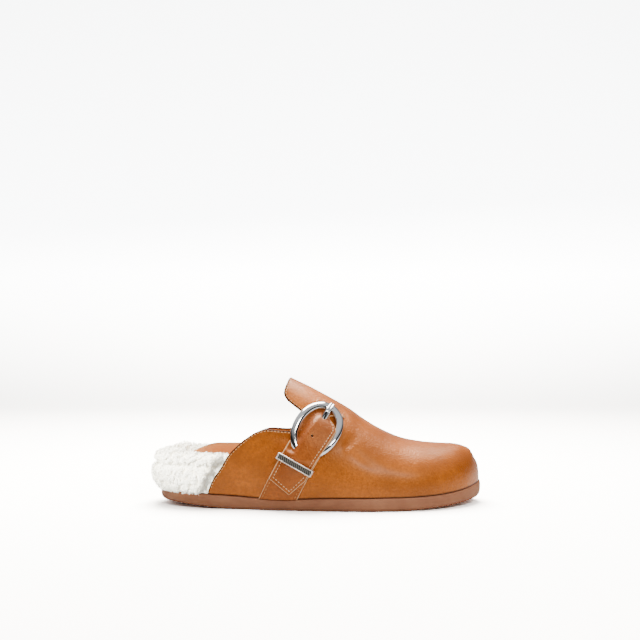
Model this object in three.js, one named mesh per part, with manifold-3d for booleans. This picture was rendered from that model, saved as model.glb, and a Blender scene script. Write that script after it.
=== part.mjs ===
// Fur-lined buckled mule, right foot, in millimetres with Z up.
// X runs from the heel's back (0) to the toe, Y from the outer side (negative, with the
// buckle) to the inner side. The last lines move the part to the middle of its own box.

import * as THREE from 'three';
import { mergeVertices } from 'three/addons/utils/BufferGeometryUtils.js';
import Module from 'manifold-3d';

const wasm = await Module();
wasm.setup();

// Overall sizes
const LENGTH = 258; // outsole, heel's back to toe
const BALL_WIDTH = 96; // outsole across the ball
const SOLE_THICKNESS = 10; // outsole at the ball
const HEEL_SPRING = 4.6; // how far the heel's back clears the floor
const TOE_SPRING = 5.6; // how far the toe clears the floor
const TAB_HEIGHT = 101; // floor to the tip of the instep tab
const RIM_HEIGHT = 41.8; // floor to the top of the heel's fur rim

// Walls, insets and clearances
const GAP = 0.3; // between pieces that meet
const WALL = 2; // upper's leather and lining
const SIDE_INSET = 2; // upper's foot inside the outsole's edge
const TOE_INSET = 1.2; // the same at the toe
const BULGE = 0.035; // how far the upper's side swells, as a share of its half width
const RIDGE_SHIFT = 3; // instep ridge, towards the inner side

// Heel fur, footbed and heel patch
const FUR_SWELL = 6; // fur beyond the outsole's edge at the heel's back
const FUR_DEPTH = 9.5; // fur's inner face inside the outsole's edge
const FUR_END = 78; // how far the fur reaches forward under the quarters
const LOCK_RADIUS = 5.4; // one curl of the fur
const BED_THICKNESS = 10.5; // footbed at the heel's middle
const PATCH_THICKNESS = 1.4; // tan leather patch in the heel cup
const PATCH_HEIGHT = 45.6; // floor to the patch's side edge
const PATCH_OUTER_SHARE = 0.35; // how far the patch rises on the outer side
const PATCH_REAR = 15; // heel's back to the patch's rear edge
const PATCH_REACH = 90; // heel's back to the patch's front edge

// Straps, buckle, prong and keeper
const STRAP_THICKNESS = 1.8;
const BASE_WIDTH = 27; // short strap that is fixed at the sole
const BASE_LENGTH = 48;
const TAIL_WIDTH = 25.5; // long strap that goes through the buckle
const TIP_RUN = 7.8; // outsole to the long strap's tip, along the strap
const TIP_SIDE = 0.5; // tip's place, as a share of the half width towards the toe
const HEEL_CORNER = 4; // the tip's corner on the heel side, above the tip
const TOE_CORNER = 15; // the same on the toe side
const RING_LENGTH = 49; // outside, along the strap
const RING_WIDTH = 37.4; // outside, across the strap
const RING_LIMB = 6.2; // width of the ring's limb
const RING_DEPTH = 3.4; // height of the ring's limb
const RING_CENTRE = 61.4; // along the strap from the outsole
const HOLE_LENGTH = 8.4; // prong's hole, along the strap
const HOLE_FROM_CENTRE = 12; // from the ring's middle towards its top
const SPARE_HOLE = 19; // from the prong's hole to the next one
const SPARE_RADIUS = 1.1;
const PRONG_WIDTH = 4;
const PRONG_DEPTH = 2;
const KEEPER_WIDTH = 5.4;
const KEEPER_DEPTH = 1.8;
const KEEPER_LEG = 1.2;
const KEEPER_FROM_RING = 4; // between the ring's lower edge and the keeper
const INLAY_MARGIN = 1.1;
const INLAY_DEPTH = 0.9;

// Outline of the outsole: a share of its length, then shares of the ball width.
const OUTLINE = [
  { along: 0, middle: 0, half: 0 },
  { along: 0.0465, middle: 0, half: 0.234 },
  { along: 0.155, middle: 0, half: 0.349 },
  { along: 0.24, middle: -0.01, half: 0.36 },
  { along: 0.38, middle: -0.047, half: 0.396 },
  { along: 0.504, middle: -0.042, half: 0.4375 },
  { along: 0.64, middle: -0.005, half: 0.495 },
  { along: 0.717, middle: 0.016, half: 0.5 },
  { along: 0.795, middle: 0.031, half: 0.484 },
  { along: 0.872, middle: 0.047, half: 0.422 },
  { along: 0.938, middle: 0.057, half: 0.307 },
  { along: 0.977, middle: 0.0625, half: 0.182 },
  { along: 1, middle: 0.0625, half: 0 },
];

// Outsole from the side: shares of the heel spring, toe spring and sole thickness.
const LEVELS = [
  { along: 0, heel: 1, toe: 0, thick: 0.77 },
  { along: 0.078, heel: 0.7, toe: 0, thick: 0.88 },
  { along: 0.155, heel: 0.3, toe: 0, thick: 0.98 },
  { along: 0.235, heel: 0, toe: 0, thick: 1.02 },
  { along: 0.29, heel: 0, toe: 0, thick: 0.93 },
  { along: 0.38, heel: 0, toe: 0, thick: 0.84 },
  { along: 0.504, heel: 0, toe: 0, thick: 0.97 },
  { along: 0.64, heel: 0, toe: 0, thick: 1 },
  { along: 0.736, heel: 0, toe: 0, thick: 1.02 },
  { along: 0.814, heel: 0, toe: 0.18, thick: 0.98 },
  { along: 0.872, heel: 0, toe: 0.36, thick: 0.97 },
  { along: 0.938, heel: 0, toe: 0.64, thick: 1.03 },
  { along: 0.977, heel: 0, toe: 0.84, thick: 1.14 },
  { along: 1, heel: 0, toe: 1, thick: 1.24 },
];

// Ridge line of the last: height as a share of the tab height, and how square the section is.
const RIDGE = [
  { along: 0.156, height: 1.327, square: 2.2 },
  { along: 0.339, height: 1.089, square: 2.1 },
  { along: 0.405, height: 1, square: 2 },
  { along: 0.452, height: 0.944, square: 2 },
  { along: 0.498, height: 0.883, square: 2 },
  { along: 0.545, height: 0.817, square: 2 },
  { along: 0.588, height: 0.752, square: 2.05 },
  { along: 0.637, height: 0.663, square: 2.1 },
  { along: 0.687, height: 0.586, square: 2.2 },
  { along: 0.75, height: 0.515, square: 2.3 },
  { along: 0.814, height: 0.479, square: 2.4 },
  { along: 0.876, height: 0.465, square: 2.45 },
  { along: 0.927, height: 0.458, square: 2.45 },
  { along: 0.953, height: 0.442, square: 2.4 },
  { along: 0.972, height: 0.416, square: 2.35 },
  { along: 0.984, height: 0.361, square: 2.3 },
  { along: 0.997, height: 0.285, square: 2.2 },
];

// Top edge of the upper: the turn from the outsole (0) up to the ridge (1), and the place
// along the shoe. The quarter's edge ends in the notch, where the tab's edge starts.
const OUTER_QUARTER = [
  { turn: 0, along: 0.155 },
  { turn: 0.05, along: 0.168 },
  { turn: 0.115, along: 0.197 },
  { turn: 0.178, along: 0.221 },
  { turn: 0.228, along: 0.249 },
  { turn: 0.28, along: 0.28 },
  { turn: 0.32, along: 0.307 },
  { turn: 0.349, along: 0.338 },
  { turn: 0.37, along: 0.378 },
  { turn: 0.39, along: 0.415 },
  { turn: 0.44, along: 0.455 },
];
const INNER_QUARTER = [
  { turn: 0, along: 0.155 },
  { turn: 0.05, along: 0.168 },
  { turn: 0.11, along: 0.197 },
  { turn: 0.165, along: 0.221 },
  { turn: 0.21, along: 0.249 },
  { turn: 0.25, along: 0.28 },
  { turn: 0.285, along: 0.307 },
  { turn: 0.318, along: 0.341 },
  { turn: 0.338, along: 0.38 },
  { turn: 0.36, along: 0.415 },
  { turn: 0.42, along: 0.455 },
];
const TAB_EDGE = [
  { turn: 0.44, along: 0.455 },
  { turn: 0.545, along: 0.444 },
  { turn: 0.572, along: 0.423 },
  { turn: 0.6, along: 0.399 },
  { turn: 0.645, along: 0.386 },
  { turn: 0.7, along: 0.388 },
  { turn: 0.8, along: 0.395 },
  { turn: 1, along: 0.404 },
];

// Footbed over the outsole, as a share of its thickness.
const BED_LEVELS = [
  { along: 0, up: 1 },
  { along: 0.16, up: 1 },
  { along: 0.4, up: 1.05 },
  { along: 0.6, up: 0.62 },
  { along: 0.8, up: 0.5 },
  { along: 1, up: 0.42 },
];

// Middle line of the straps on the outer side of the upper.
const STRAP_LINE = [
  { turn: 0, along: 0.37 },
  { turn: 0.18, along: 0.42 },
  { turn: 0.43, along: 0.484 },
  { turn: 0.77, along: 0.536 },
  { turn: 1, along: 0.56 },
];

// Fur section at the heel: outwards as a share of the swell (positive) or of the depth
// (negative), upwards as a share of the fur's height, outer face first.
const FUR_OUTER = [
  { out: -0.18, up: 0 },
  { out: 0.35, up: 0.09 },
  { out: 0.8, up: 0.24 },
  { out: 1, up: 0.42 },
  { out: 1.02, up: 0.6 },
  { out: 0.74, up: 0.73 },
  { out: 0.86, up: 0.82 },
  { out: 0.45, up: 0.95 },
  { out: -0.15, up: 1 },
];
const FUR_INNER = [
  { out: -1, up: 0 },
  { out: -1, up: 0.14 },
  { out: -1, up: 0.28 },
  { out: -1, up: 0.42 },
  { out: -1, up: 0.56 },
  { out: -1, up: 0.7 },
  { out: -0.98, up: 0.82 },
  { out: -0.85, up: 0.93 },
  { out: -0.5, up: 1 },
];

// Side of the outsole from the floor up: inset in millimetres and share of the thickness.
const SOLE_SIDE = [
  { inset: 3, up: 0 },
  { inset: 1.3, up: 0.1 },
  { inset: 0.4, up: 0.28 },
  { inset: 0, up: 0.6 },
  { inset: 0.2, up: 0.86 },
  { inset: 0.9, up: 1 },
];

// Lift of the long strap off the upper: distance from the ring's middle as a share of the
// ring's half oval there, and the lift as a share of the room over the ring's lower limb.
const TAIL_LIFT = [
  { from: -2.7, lift: 0.36 },
  { from: -1.85, lift: 0.38 },
  { from: -1.5, lift: 0.5 },
  { from: -1.25, lift: 0.76 },
  { from: -1.06, lift: 1 },
  { from: -0.58, lift: 1 },
  { from: -0.2, lift: 0.93 },
  { from: 0.15, lift: 0.82 },
  { from: 0.37, lift: 0.56 },
  { from: 0.5, lift: 0.26 },
  { from: 0.62, lift: 0 },
  { from: 1.6, lift: 0 },
];

// Half width of the long strap on its heel side and its toe side, as shares of the strap's:
// it narrows inside the ring. Distance is from the ring's middle, as a share of half its length.
const TAIL_SIDES = [
  { distance: -2.5, heel: 1.02, toe: 1.02 },
  { distance: -1.2, heel: 1, toe: 1 },
  { distance: -0.9, heel: 1, toe: 1.02 },
  { distance: -0.4, heel: 0.94, toe: 0.96 },
  { distance: 0, heel: 0.9, toe: 0.92 },
  { distance: 0.2, heel: 0.88, toe: 0.9 },
  { distance: 0.36, heel: 0.8, toe: 0.66 },
  { distance: 0.5, heel: 0.66, toe: 0.36 },
  { distance: 0.62, heel: 0.6, toe: 0.32 },
  { distance: 0.8, heel: 0.66, toe: 0.5 },
  { distance: 0.95, heel: 0.94, toe: 0.94 },
  { distance: 1.2, heel: 1, toe: 1 },
];

// Smooth curve through one column of a table, as a function of the first column.
function curve(table, key, column, spread = (share) => share) {
  const at = table.map((row) => spread(row[key]));
  const value = table.map((row) => row[column]);
  const step = at.slice(1).map((next, i) => next - at[i]);
  const slope = step.map((length, i) => (value[i + 1] - value[i]) / length);
  const tangent = at.map((_, i) => {
    if (i === 0) return slope[0];
    if (i === at.length - 1) return slope[i - 1];
    return (slope[i - 1] * step[i] + slope[i] * step[i - 1]) / (step[i - 1] + step[i]);
  });
  return (share) => {
    const x = spread(share);
    let i = 0;
    while (i < step.length - 1 && x > at[i + 1]) i += 1;
    const t = (x - at[i]) / step[i];
    const start = value[i] * (1 + 2 * t) * (1 - t) ** 2;
    const end = value[i + 1] * t * t * (3 - 2 * t);
    const lean = step[i] * (tangent[i] * t * (1 - t) ** 2 + tangent[i + 1] * t * t * (t - 1));
    return start + end + lean;
  };
}

// Straight lines through one column of a table.
function polyline(table, key, column) {
  return (share) => {
    let i = 0;
    while (i < table.length - 2 && share > table[i + 1][key]) i += 1;
    const t = (share - table[i][key]) / (table[i + 1][key] - table[i][key]);
    const [low, high] = [table[i][column], table[i + 1][column]];
    return THREE.MathUtils.lerp(low, high, THREE.MathUtils.clamp(t, 0, 1));
  };
}

// A share of the length as an angle, so that an outline's ends come out round.
const roundEnds = (share) => Math.acos(THREE.MathUtils.clamp(1 - 2 * share, -1, 1));

// Forms of the last and the outsole

const outlineMiddle = curve(OUTLINE, 'along', 'middle', roundEnds);
const outlineHalf = curve(OUTLINE, 'along', 'half', roundEnds);
const heelLift = curve(LEVELS, 'along', 'heel');
const toeLift = curve(LEVELS, 'along', 'toe');
const thickness = curve(LEVELS, 'along', 'thick');
const shareOfLength = (x) => THREE.MathUtils.clamp(x / LENGTH, 0, 1);
const floorSide = (x) => {
  const share = shareOfLength(x);
  return Math.max(0, heelLift(share) * HEEL_SPRING + toeLift(share) * TOE_SPRING);
};
const soleTop = (x) => floorSide(x) + thickness(shareOfLength(x)) * SOLE_THICKNESS;

// Frame on the outsole's outline. Angle 0 is the heel's back and pi the toe, and negative
// angles lie on the outer side.
function outlineFrame(angle) {
  const edge = (a) => {
    const share = (1 - Math.cos(a)) / 2;
    const y = outlineMiddle(share) + Math.sign(Math.sin(a)) * outlineHalf(share);
    return new THREE.Vector3(share * LENGTH, y * BALL_WIDTH, 0);
  };
  const along = edge(angle + 0.004).sub(edge(angle - 0.004)).normalize();
  return { point: edge(angle), outward: new THREE.Vector3(-along.y, along.x, 0) };
}

function outlinePoint(angle, inset) {
  const { point, outward } = outlineFrame(angle);
  return point.addScaledVector(outward, -inset);
}

// Height of the last's ridge over the outsole, and the squareness of its section.
const TIP = LENGTH - TOE_INSET;
const ridgeTable = RIDGE.map((row) => ({
  along: row.along,
  rise: row.height * TAB_HEIGHT - soleTop(row.along * TIP) - GAP,
}));
const ridgeRise = curve([...ridgeTable, { along: 1, rise: 0 }], 'along', 'rise', roundEnds);
const squareness = polyline(RIDGE, 'along', 'square');

function lastSection(x) {
  const share = THREE.MathUtils.clamp(x / TIP, 0, 1);
  return {
    middle: outlineMiddle(share) * BALL_WIDTH,
    half: outlineHalf(share) * (BALL_WIDTH - 2 * SIDE_INSET),
    base: soleTop(x) + GAP,
    rise: ridgeRise(share),
    power: squareness(share),
  };
}

// Point of the upper's outer face: turn 0 is the outer foot, 1 the ridge, 2 the inner foot.
function lastPoint(x, turn) {
  const { middle, half, base, rise, power } = lastSection(x);
  const angle = (turn * Math.PI) / 2;
  const across = Math.cos(angle);
  const upward = Math.sin(angle);
  const reach = (Math.abs(across) ** power + Math.abs(upward) ** power) ** (-1 / power);
  const swell = 1 + BULGE * Math.abs(Math.sin(2 * angle));
  const shift = RIDGE_SHIFT * Math.min(1, rise / (0.8 * TAB_HEIGHT)) * (reach * upward) ** 2;
  const y = middle + shift - half * reach * across * swell;
  return new THREE.Vector3(x, y, base + rise * reach * upward);
}

function lastNormal(x, turn) {
  const step = 0.01;
  const alongX = lastPoint(x + step, turn).sub(lastPoint(x - step, turn));
  const up = lastPoint(x, turn + step).sub(lastPoint(x, turn - step));
  return alongX.cross(up).normalize();
}

// Distance of the upper's outer face from the middle plane at a height, on one side.
function lastSide(x, z, side) {
  const { middle, half, base, rise, power } = lastSection(x);
  const up = THREE.MathUtils.clamp((z - base) / rise, 0, 1);
  const across = (1 - up ** power) ** (1 / power);
  const swell = 1 + BULGE * Math.sin(2 * Math.atan2(up, across));
  return middle + RIDGE_SHIFT * up * up + side * half * across * swell;
}

// Mesh helpers

// Merges equal points, drops collapsed triangles, and turns the faces outwards.
function solid(points, faces) {
  const raw = new THREE.BufferGeometry();
  const values = points.flatMap((p) => p.toArray());
  raw.setAttribute('position', new THREE.Float32BufferAttribute(values, 3));
  raw.setIndex(faces.flat());
  const merged = mergeVertices(raw, 1e-3);
  const index = Array.from(merged.index.array);
  const kept = [];
  for (let i = 0; i < index.length; i += 3) {
    const [a, b, c] = index.slice(i, i + 3);
    if (a !== b && b !== c && c !== a) kept.push(a, b, c);
  }
  merged.setIndex(volume(merged.attributes.position, kept) < 0 ? kept.reverse() : kept);
  merged.computeVertexNormals();
  return merged;
}

function volume(position, index) {
  const [a, b, c] = [new THREE.Vector3(), new THREE.Vector3(), new THREE.Vector3()];
  let sum = 0;
  for (let i = 0; i < index.length; i += 3) {
    a.fromBufferAttribute(position, index[i]);
    b.fromBufferAttribute(position, index[i + 1]);
    c.fromBufferAttribute(position, index[i + 2]);
    sum += a.dot(b.cross(c)) / 6;
  }
  return sum;
}

// Solid through closed sections of equal length. Each end is closed by joining a section's
// first half to its second half, point by point.
function loft(sections) {
  const count = sections[0].length;
  const faces = [];
  for (let i = 0; i < sections.length - 1; i += 1) {
    for (let j = 0; j < count; j += 1) {
      const a = i * count + j;
      const b = i * count + ((j + 1) % count);
      faces.push([a, b, b + count], [a, b + count, a + count]);
    }
  }
  const last = (sections.length - 1) * count;
  for (let j = 0; j < count / 2 - 1; j += 1) {
    const k = count - 1 - j;
    faces.push([j, k, j + 1], [j + 1, k, k - 1]);
    faces.push([last + j, last + j + 1, last + k], [last + j + 1, last + k - 1, last + k]);
  }
  return solid(sections.flat(), faces);
}

function toManifold(geometry) {
  return new wasm.Manifold(new wasm.Mesh({
    numProp: 3,
    vertProperties: new Float32Array(geometry.attributes.position.array),
    triVerts: new Uint32Array(geometry.index.array),
  }));
}

function fromManifold(body) {
  const mesh = body.getMesh();
  const geometry = new THREE.BufferGeometry();
  geometry.setAttribute('position', new THREE.Float32BufferAttribute(mesh.vertProperties, 3));
  geometry.setIndex(Array.from(mesh.triVerts));
  geometry.computeVertexNormals();
  return geometry;
}

function closed(geometry) {
  const bare = new THREE.BufferGeometry();
  bare.setAttribute('position', geometry.attributes.position.clone());
  bare.setIndex(geometry.index ? Array.from(geometry.index.array) : null);
  return mergeVertices(bare, 1e-4);
}

// Values at equal steps, both ends included.
function evenly(count, from, to) {
  return Array.from({ length: count + 1 }, (_, i) => from + ((to - from) * i) / count);
}

// Outsole

function outsoleGeometry() {
  const angles = evenly(34, 0, Math.PI);
  const sections = SOLE_SIDE.map(({ inset, up }) => {
    const place = (angle) => {
      const p = outlinePoint(angle, inset);
      p.z = floorSide(p.x) + up * (soleTop(p.x) - floorSide(p.x));
      return p;
    };
    const outer = angles.map((angle) => place(-angle));
    const inner = angles.map((angle) => place(angle)).reverse();
    return [...outer, ...inner];
  });
  return loft(sections);
}

// Footbed and heel patch

// How far up the heel cup's wall a place lies: 0 on its floor and 1 at its edge.
function cupWall(x, across) {
  const heelHalf = 0.155 * LENGTH;
  const back = Math.max(0, 1 - (x - BED_BACK) / (heelHalf - BED_BACK));
  return THREE.MathUtils.smoothstep(Math.hypot(across, back), 0.5, 1.02);
}

const bedLevel = curve(BED_LEVELS, 'along', 'up');
const BED_BACK = FUR_DEPTH + GAP;
const BED_WIDENS = FUR_END + 2;
const bedInset = (x) => {
  const forward = THREE.MathUtils.smoothstep(x, BED_WIDENS, BED_WIDENS + 12);
  return THREE.MathUtils.lerp(BED_BACK, SIDE_INSET + WALL + 1.6, forward);
};
const bedCup = (x) => 1 - THREE.MathUtils.smoothstep(x, 0.3 * LENGTH, 0.5 * LENGTH);

function bedTop(x, across) {
  const rim = RIM_HEIGHT - 6;
  const level = soleTop(x) + bedLevel(shareOfLength(x)) * BED_THICKNESS;
  const edge = cupWall(x, across) * bedCup(x) * Math.max(0, rim - level);
  const shallow = (1 - bedCup(x)) * 2.5 * across ** 4;
  return level + edge + shallow;
}

// Cross-sections of the footbed or of a sheet on it. Both use these angles and columns, so
// that their facets agree. One section lies where the footbed starts to widen.
const BED_COLUMNS = [-1, -0.92, -0.78, -0.55, -0.2, 0.2, 0.55, 0.78, 0.92, 1];
const widening = roundEnds(BED_WIDENS / LENGTH);
const heelAngles = evenly(11, 0.1, widening).slice(0, -1);
const BED_ANGLES = [...heelAngles, ...evenly(15, widening, Math.PI - 0.1)];

function bedSections(angles, columns, shape) {
  return angles.map((angle) => {
    const inset = bedInset(outlinePoint(angle, 0).x);
    const outer = outlinePoint(-angle, inset);
    const inner = outlinePoint(angle, inset);
    const place = (across, over) => shape(outer.clone().lerp(inner, (across + 1) / 2), across, over);
    const under = columns.map((across) => place(across, false));
    const over = columns.map((across) => place(across, true)).reverse();
    return [...under, ...over];
  });
}

function footbedGeometry() {
  return loft(bedSections(BED_ANGLES, BED_COLUMNS, (p, across, over) => {
    p.z = over ? bedTop(p.x, across) : soleTop(p.x) + GAP;
    return p;
  }));
}

function heelPatchGeometry() {
  const angles = BED_ANGLES.filter((angle) => {
    const { x } = outlinePoint(angle, BED_BACK);
    return x > PATCH_REAR && x < PATCH_REACH;
  });
  return loft(bedSections(angles, [...BED_COLUMNS].reverse(), (p, across, over) => {
    const floor = bedTop(p.x, across) + GAP;
    const rising = THREE.MathUtils.smoothstep(p.x, PATCH_REAR - 1, PATCH_REAR + 29);
    const falling = 1 - THREE.MathUtils.smoothstep(p.x, PATCH_REACH - 22, PATCH_REACH);
    const wall = Math.abs(across) === 1 ? Math.max(0, PATCH_HEIGHT - PATCH_THICKNESS - floor) : 0;
    const side = across < 0 ? PATCH_OUTER_SHARE : 1;
    p.y -= Math.sign(across) * (GAP + (over ? PATCH_THICKNESS * across * across : 0));
    p.z = floor + wall * side * rising * falling + (over ? PATCH_THICKNESS : 0);
    return p;
  }));
}

// Heel fur

// Place of a quarter's edge along the shoe, by height.
function edgeByHeight(rows) {
  const heights = rows.map(({ turn, along }) => {
    const { x, z } = lastPoint(along * LENGTH, turn);
    return { x, z };
  });
  return polyline(heights, 'z', 'x');
}

const outerByHeight = edgeByHeight(OUTER_QUARTER);
const innerByHeight = edgeByHeight(INNER_QUARTER);
const quarterEdge = (z, side) => (side < 0 ? outerByHeight(z) : innerByHeight(z));

function furPoint(angle, out, up) {
  const { point, outward } = outlineFrame(angle);
  const fade = 1 - 0.55 * THREE.MathUtils.smoothstep(Math.abs(angle), 0.3, 0.9);
  const reach = out > 0 ? out * FUR_SWELL * fade : out * FUR_DEPTH;
  const p = point.addScaledVector(outward, reach);
  const bottom = soleTop(Math.max(0, p.x)) + GAP;
  p.z = bottom + up * (RIM_HEIGHT - bottom);
  const side = Math.sign(angle) || 1;
  const limit = lastSide(Math.max(p.x, 1), p.z, side) - side * (WALL + 3 * GAP);
  const start = quarterEdge(p.z, side);
  const under = THREE.MathUtils.smoothstep(p.x, start - 9, start - 3);
  if (side * (p.y - limit) > 0) p.y = THREE.MathUtils.lerp(p.y, limit, under);
  return p;
}

function furWall() {
  const end = roundEnds(FUR_END / LENGTH);
  const near = evenly(10, 0, 1).map((t) => roundEnds(0.155) + t * (end - roundEnds(0.155)));
  const back = evenly(10, 0, roundEnds(0.155)).slice(0, -1);
  const half = [...back, ...near];
  const angles = [...half.slice(1).map((a) => -a).reverse(), ...half];
  return loft(angles.map((angle) => {
    const outer = FUR_OUTER.map(({ out, up }) => furPoint(angle, out, up));
    const inner = FUR_INNER.map(({ out, up }) => furPoint(angle, out, up)).reverse();
    return [...outer, ...inner];
  }));
}

// A repeatable value between -1 and 1 for the locks' small differences.
const vary = (seed) => 2 * (((Math.sin(seed * 12.9898) * 43758.5453) % 1 + 1) % 1) - 1;

function furLock(angle, out, up, seed) {
  const centre = furPoint(angle, out, up);
  const { outward } = outlineFrame(angle);
  const lock = closed(new THREE.IcosahedronGeometry(LOCK_RADIUS * (1 + 0.14 * vary(seed)), 1));
  lock.scale(1.15, 0.72, 0.85 + 0.12 * vary(seed + 5));
  lock.rotateX(0.6 * vary(seed + 2));
  lock.rotateZ(Math.atan2(outward.y, outward.x) + Math.PI / 2 + 0.3 * vary(seed + 3));
  lock.translate(centre.x, centre.y, centre.z);
  return lock;
}

function heelFurGeometry() {
  let body = toManifold(furWall());
  const rows = [
    { out: 0.15, up: 0.25 },
    { out: 0.42, up: 0.5 },
    { out: 0.15, up: 0.8 },
    { out: -0.4, up: 0.93 },
  ];
  const locks = [];
  rows.forEach(({ out, up }, row) => {
    evenly(10, -1, 1).forEach((t, column) => {
      const angle = (t + (row % 2 ? 0.08 : 0)) * roundEnds(0.15);
      const p = furPoint(angle, out, up);
      if (p.x > quarterEdge(p.z, Math.sign(angle) || 1) - 7) return;
      locks.push(furLock(angle, out, up, row * 31 + column));
    });
  });
  for (const lock of locks) body = body.add(toManifold(lock));
  return fromManifold(body);
}

// Upper

// Rows of the upper from the outer foot over the ridge to the inner foot.
function upperRows() {
  const outerEdge = curve(OUTER_QUARTER, 'turn', 'along');
  const innerEdge = curve(INNER_QUARTER, 'turn', 'along');
  const tabEdge = curve(TAB_EDGE, 'turn', 'along');
  const innerNotch = INNER_QUARTER.at(-1).turn;
  const outerNotch = OUTER_QUARTER.at(-1).turn;
  const side = (edge, notch) => {
    const quarter = evenly(10, 0, notch).map((turn) => ({ turn, cut: edge(turn) }));
    const tabTurns = [0.06, 0.12, 0.18, 0.23, 0.28, 0.36, 0.46, 0.64, 0.82, 1];
    const tab = tabTurns.map((t) => {
      const along = tabEdge(TAB_EDGE[0].turn + t * (1 - TAB_EDGE[0].turn));
      return { turn: notch + t * (1 - notch), cut: along };
    });
    return [...quarter, ...tab];
  };
  const outer = side(outerEdge, outerNotch);
  const inner = side(innerEdge, innerNotch);
  const mirrored = inner.slice(0, -1).reverse().map(({ turn, cut }) => ({ turn: 2 - turn, cut }));
  return [...outer, ...mirrored];
}

function upperGeometry() {
  const rows = upperRows();
  const stations = evenly(20, 0, 1);
  const sections = stations.map((t) => {
    const forward = Math.sin((t * Math.PI) / 2);
    const place = ({ turn, cut }, depth) => {
      const start = cut * LENGTH;
      const x = start + (TIP - start) * forward;
      if (t === 1) return lastPoint(TIP, 0).add(new THREE.Vector3(-depth, 0, 0));
      return lastPoint(x, turn).addScaledVector(lastNormal(x, turn), -depth);
    };
    const outer = rows.map((row) => place(row, 0));
    const inner = rows.map((row) => place(row, WALL)).reverse();
    return [...outer, ...inner];
  });
  return loft(sections);
}

// Strap places on the outer side of the upper

const strapAlong = curve(STRAP_LINE, 'turn', 'along');
const strapSamples = evenly(140, -0.15, 1).map((turn) => {
  const point = lastPoint(strapAlong(turn) * LENGTH, turn);
  return { turn, point };
});
strapSamples.forEach((sample, i) => {
  const before = strapSamples[i - 1];
  sample.run = before ? before.run + sample.point.distanceTo(before.point) : 0;
});
const footRun = polyline(strapSamples, 'turn', 'run')(0);
strapSamples.forEach((sample) => {
  sample.run -= footRun;
});
const strapTurn = polyline(strapSamples, 'run', 'turn');

function strapAxis(run) {
  const turn = strapTurn(run);
  const x = strapAlong(turn) * LENGTH;
  const step = 0.01;
  const after = lastPoint(strapAlong(turn + step) * LENGTH, turn + step);
  const before = lastPoint(strapAlong(turn - step) * LENGTH, turn - step);
  return { x, turn, up: after.sub(before).normalize() };
}

// Point over the upper: run goes up the strap, across goes towards the toe.
function onStrap(run, across, lift) {
  let { x, turn, up } = strapAxis(run);
  const steps = 5;
  const small = 0.005;
  for (let i = 0; i < steps; i += 1) {
    const normal = lastNormal(x, turn);
    up = up.clone().addScaledVector(normal, -up.dot(normal)).normalize();
    const move = up.clone().cross(normal).multiplyScalar(across / steps);
    const here = lastPoint(x, turn);
    const perX = lastPoint(x + small, turn).sub(here).divideScalar(small);
    const perTurn = lastPoint(x, turn + small).sub(here).divideScalar(small);
    const xx = perX.dot(perX);
    const xt = perX.dot(perTurn);
    const tt = perTurn.dot(perTurn);
    const det = xx * tt - xt * xt;
    x += (move.dot(perX) * tt - move.dot(perTurn) * xt) / det;
    turn += (move.dot(perTurn) * xx - move.dot(perX) * xt) / det;
  }
  return lastPoint(x, turn).addScaledVector(lastNormal(x, turn), lift);
}

function strapFrame(run, across) {
  const { up } = strapAxis(run);
  const centre = onStrap(run, across, 0);
  const normal = onStrap(run, across, 1).sub(centre).normalize();
  const along = up.addScaledVector(normal, -up.dot(normal)).normalize();
  return { centre, normal, along, toToe: along.clone().cross(normal) };
}

const BASE_TOP = GAP + STRAP_THICKNESS;
const RING_UNDER = BASE_TOP + GAP;
const RING_OVER = RING_UNDER + RING_DEPTH;
const RING_HALF = RING_LENGTH / 2;

// Lowest run along a line of the strap that stays clear of the outsole.
function strapFoot(across) {
  let low = -12;
  let high = 20;
  for (let i = 0; i < 24; i += 1) {
    const run = (low + high) / 2;
    const { x, z } = onStrap(run, across, 0);
    if (z > soleTop(x) + 2 * GAP) high = run;
    else low = run;
  }
  return high;
}

function baseStrapGeometry() {
  const columns = evenly(4, -BASE_WIDTH / 2, BASE_WIDTH / 2);
  const feet = new Map(columns.map((across) => [across, strapFoot(across)]));
  const sections = evenly(9, 0, 1).map((t) => {
    const run = (across) => THREE.MathUtils.lerp(feet.get(across), BASE_LENGTH, t);
    const under = columns.map((across) => onStrap(run(across), across, GAP));
    const over = columns.map((across) => onStrap(run(across), across, BASE_TOP)).reverse();
    return [...under, ...over];
  });
  return loft(sections);
}

// Long strap: it starts beyond the ring's top, passes under that limb and over the lower one.
const tailShape = curve(TAIL_LIFT, 'from', 'lift');
const heelShare = curve(TAIL_SIDES, 'distance', 'heel');
const toeShare = curve(TAIL_SIDES, 'distance', 'toe');
function tailLift(run, across) {
  const oval = RING_HALF * Math.sqrt(1 - (2 * across / RING_WIDTH) ** 2);
  const share = THREE.MathUtils.clamp((run - RING_CENTRE) / oval, -2.7, 1.6);
  return GAP + THREE.MathUtils.clamp(tailShape(share), 0, 1) * RING_OVER;
}

const KEEPER_RUN = RING_CENTRE - RING_HALF - KEEPER_FROM_RING - KEEPER_WIDTH / 2;
const TAIL_START = RING_CENTRE + RING_HALF + 2.5;

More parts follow.
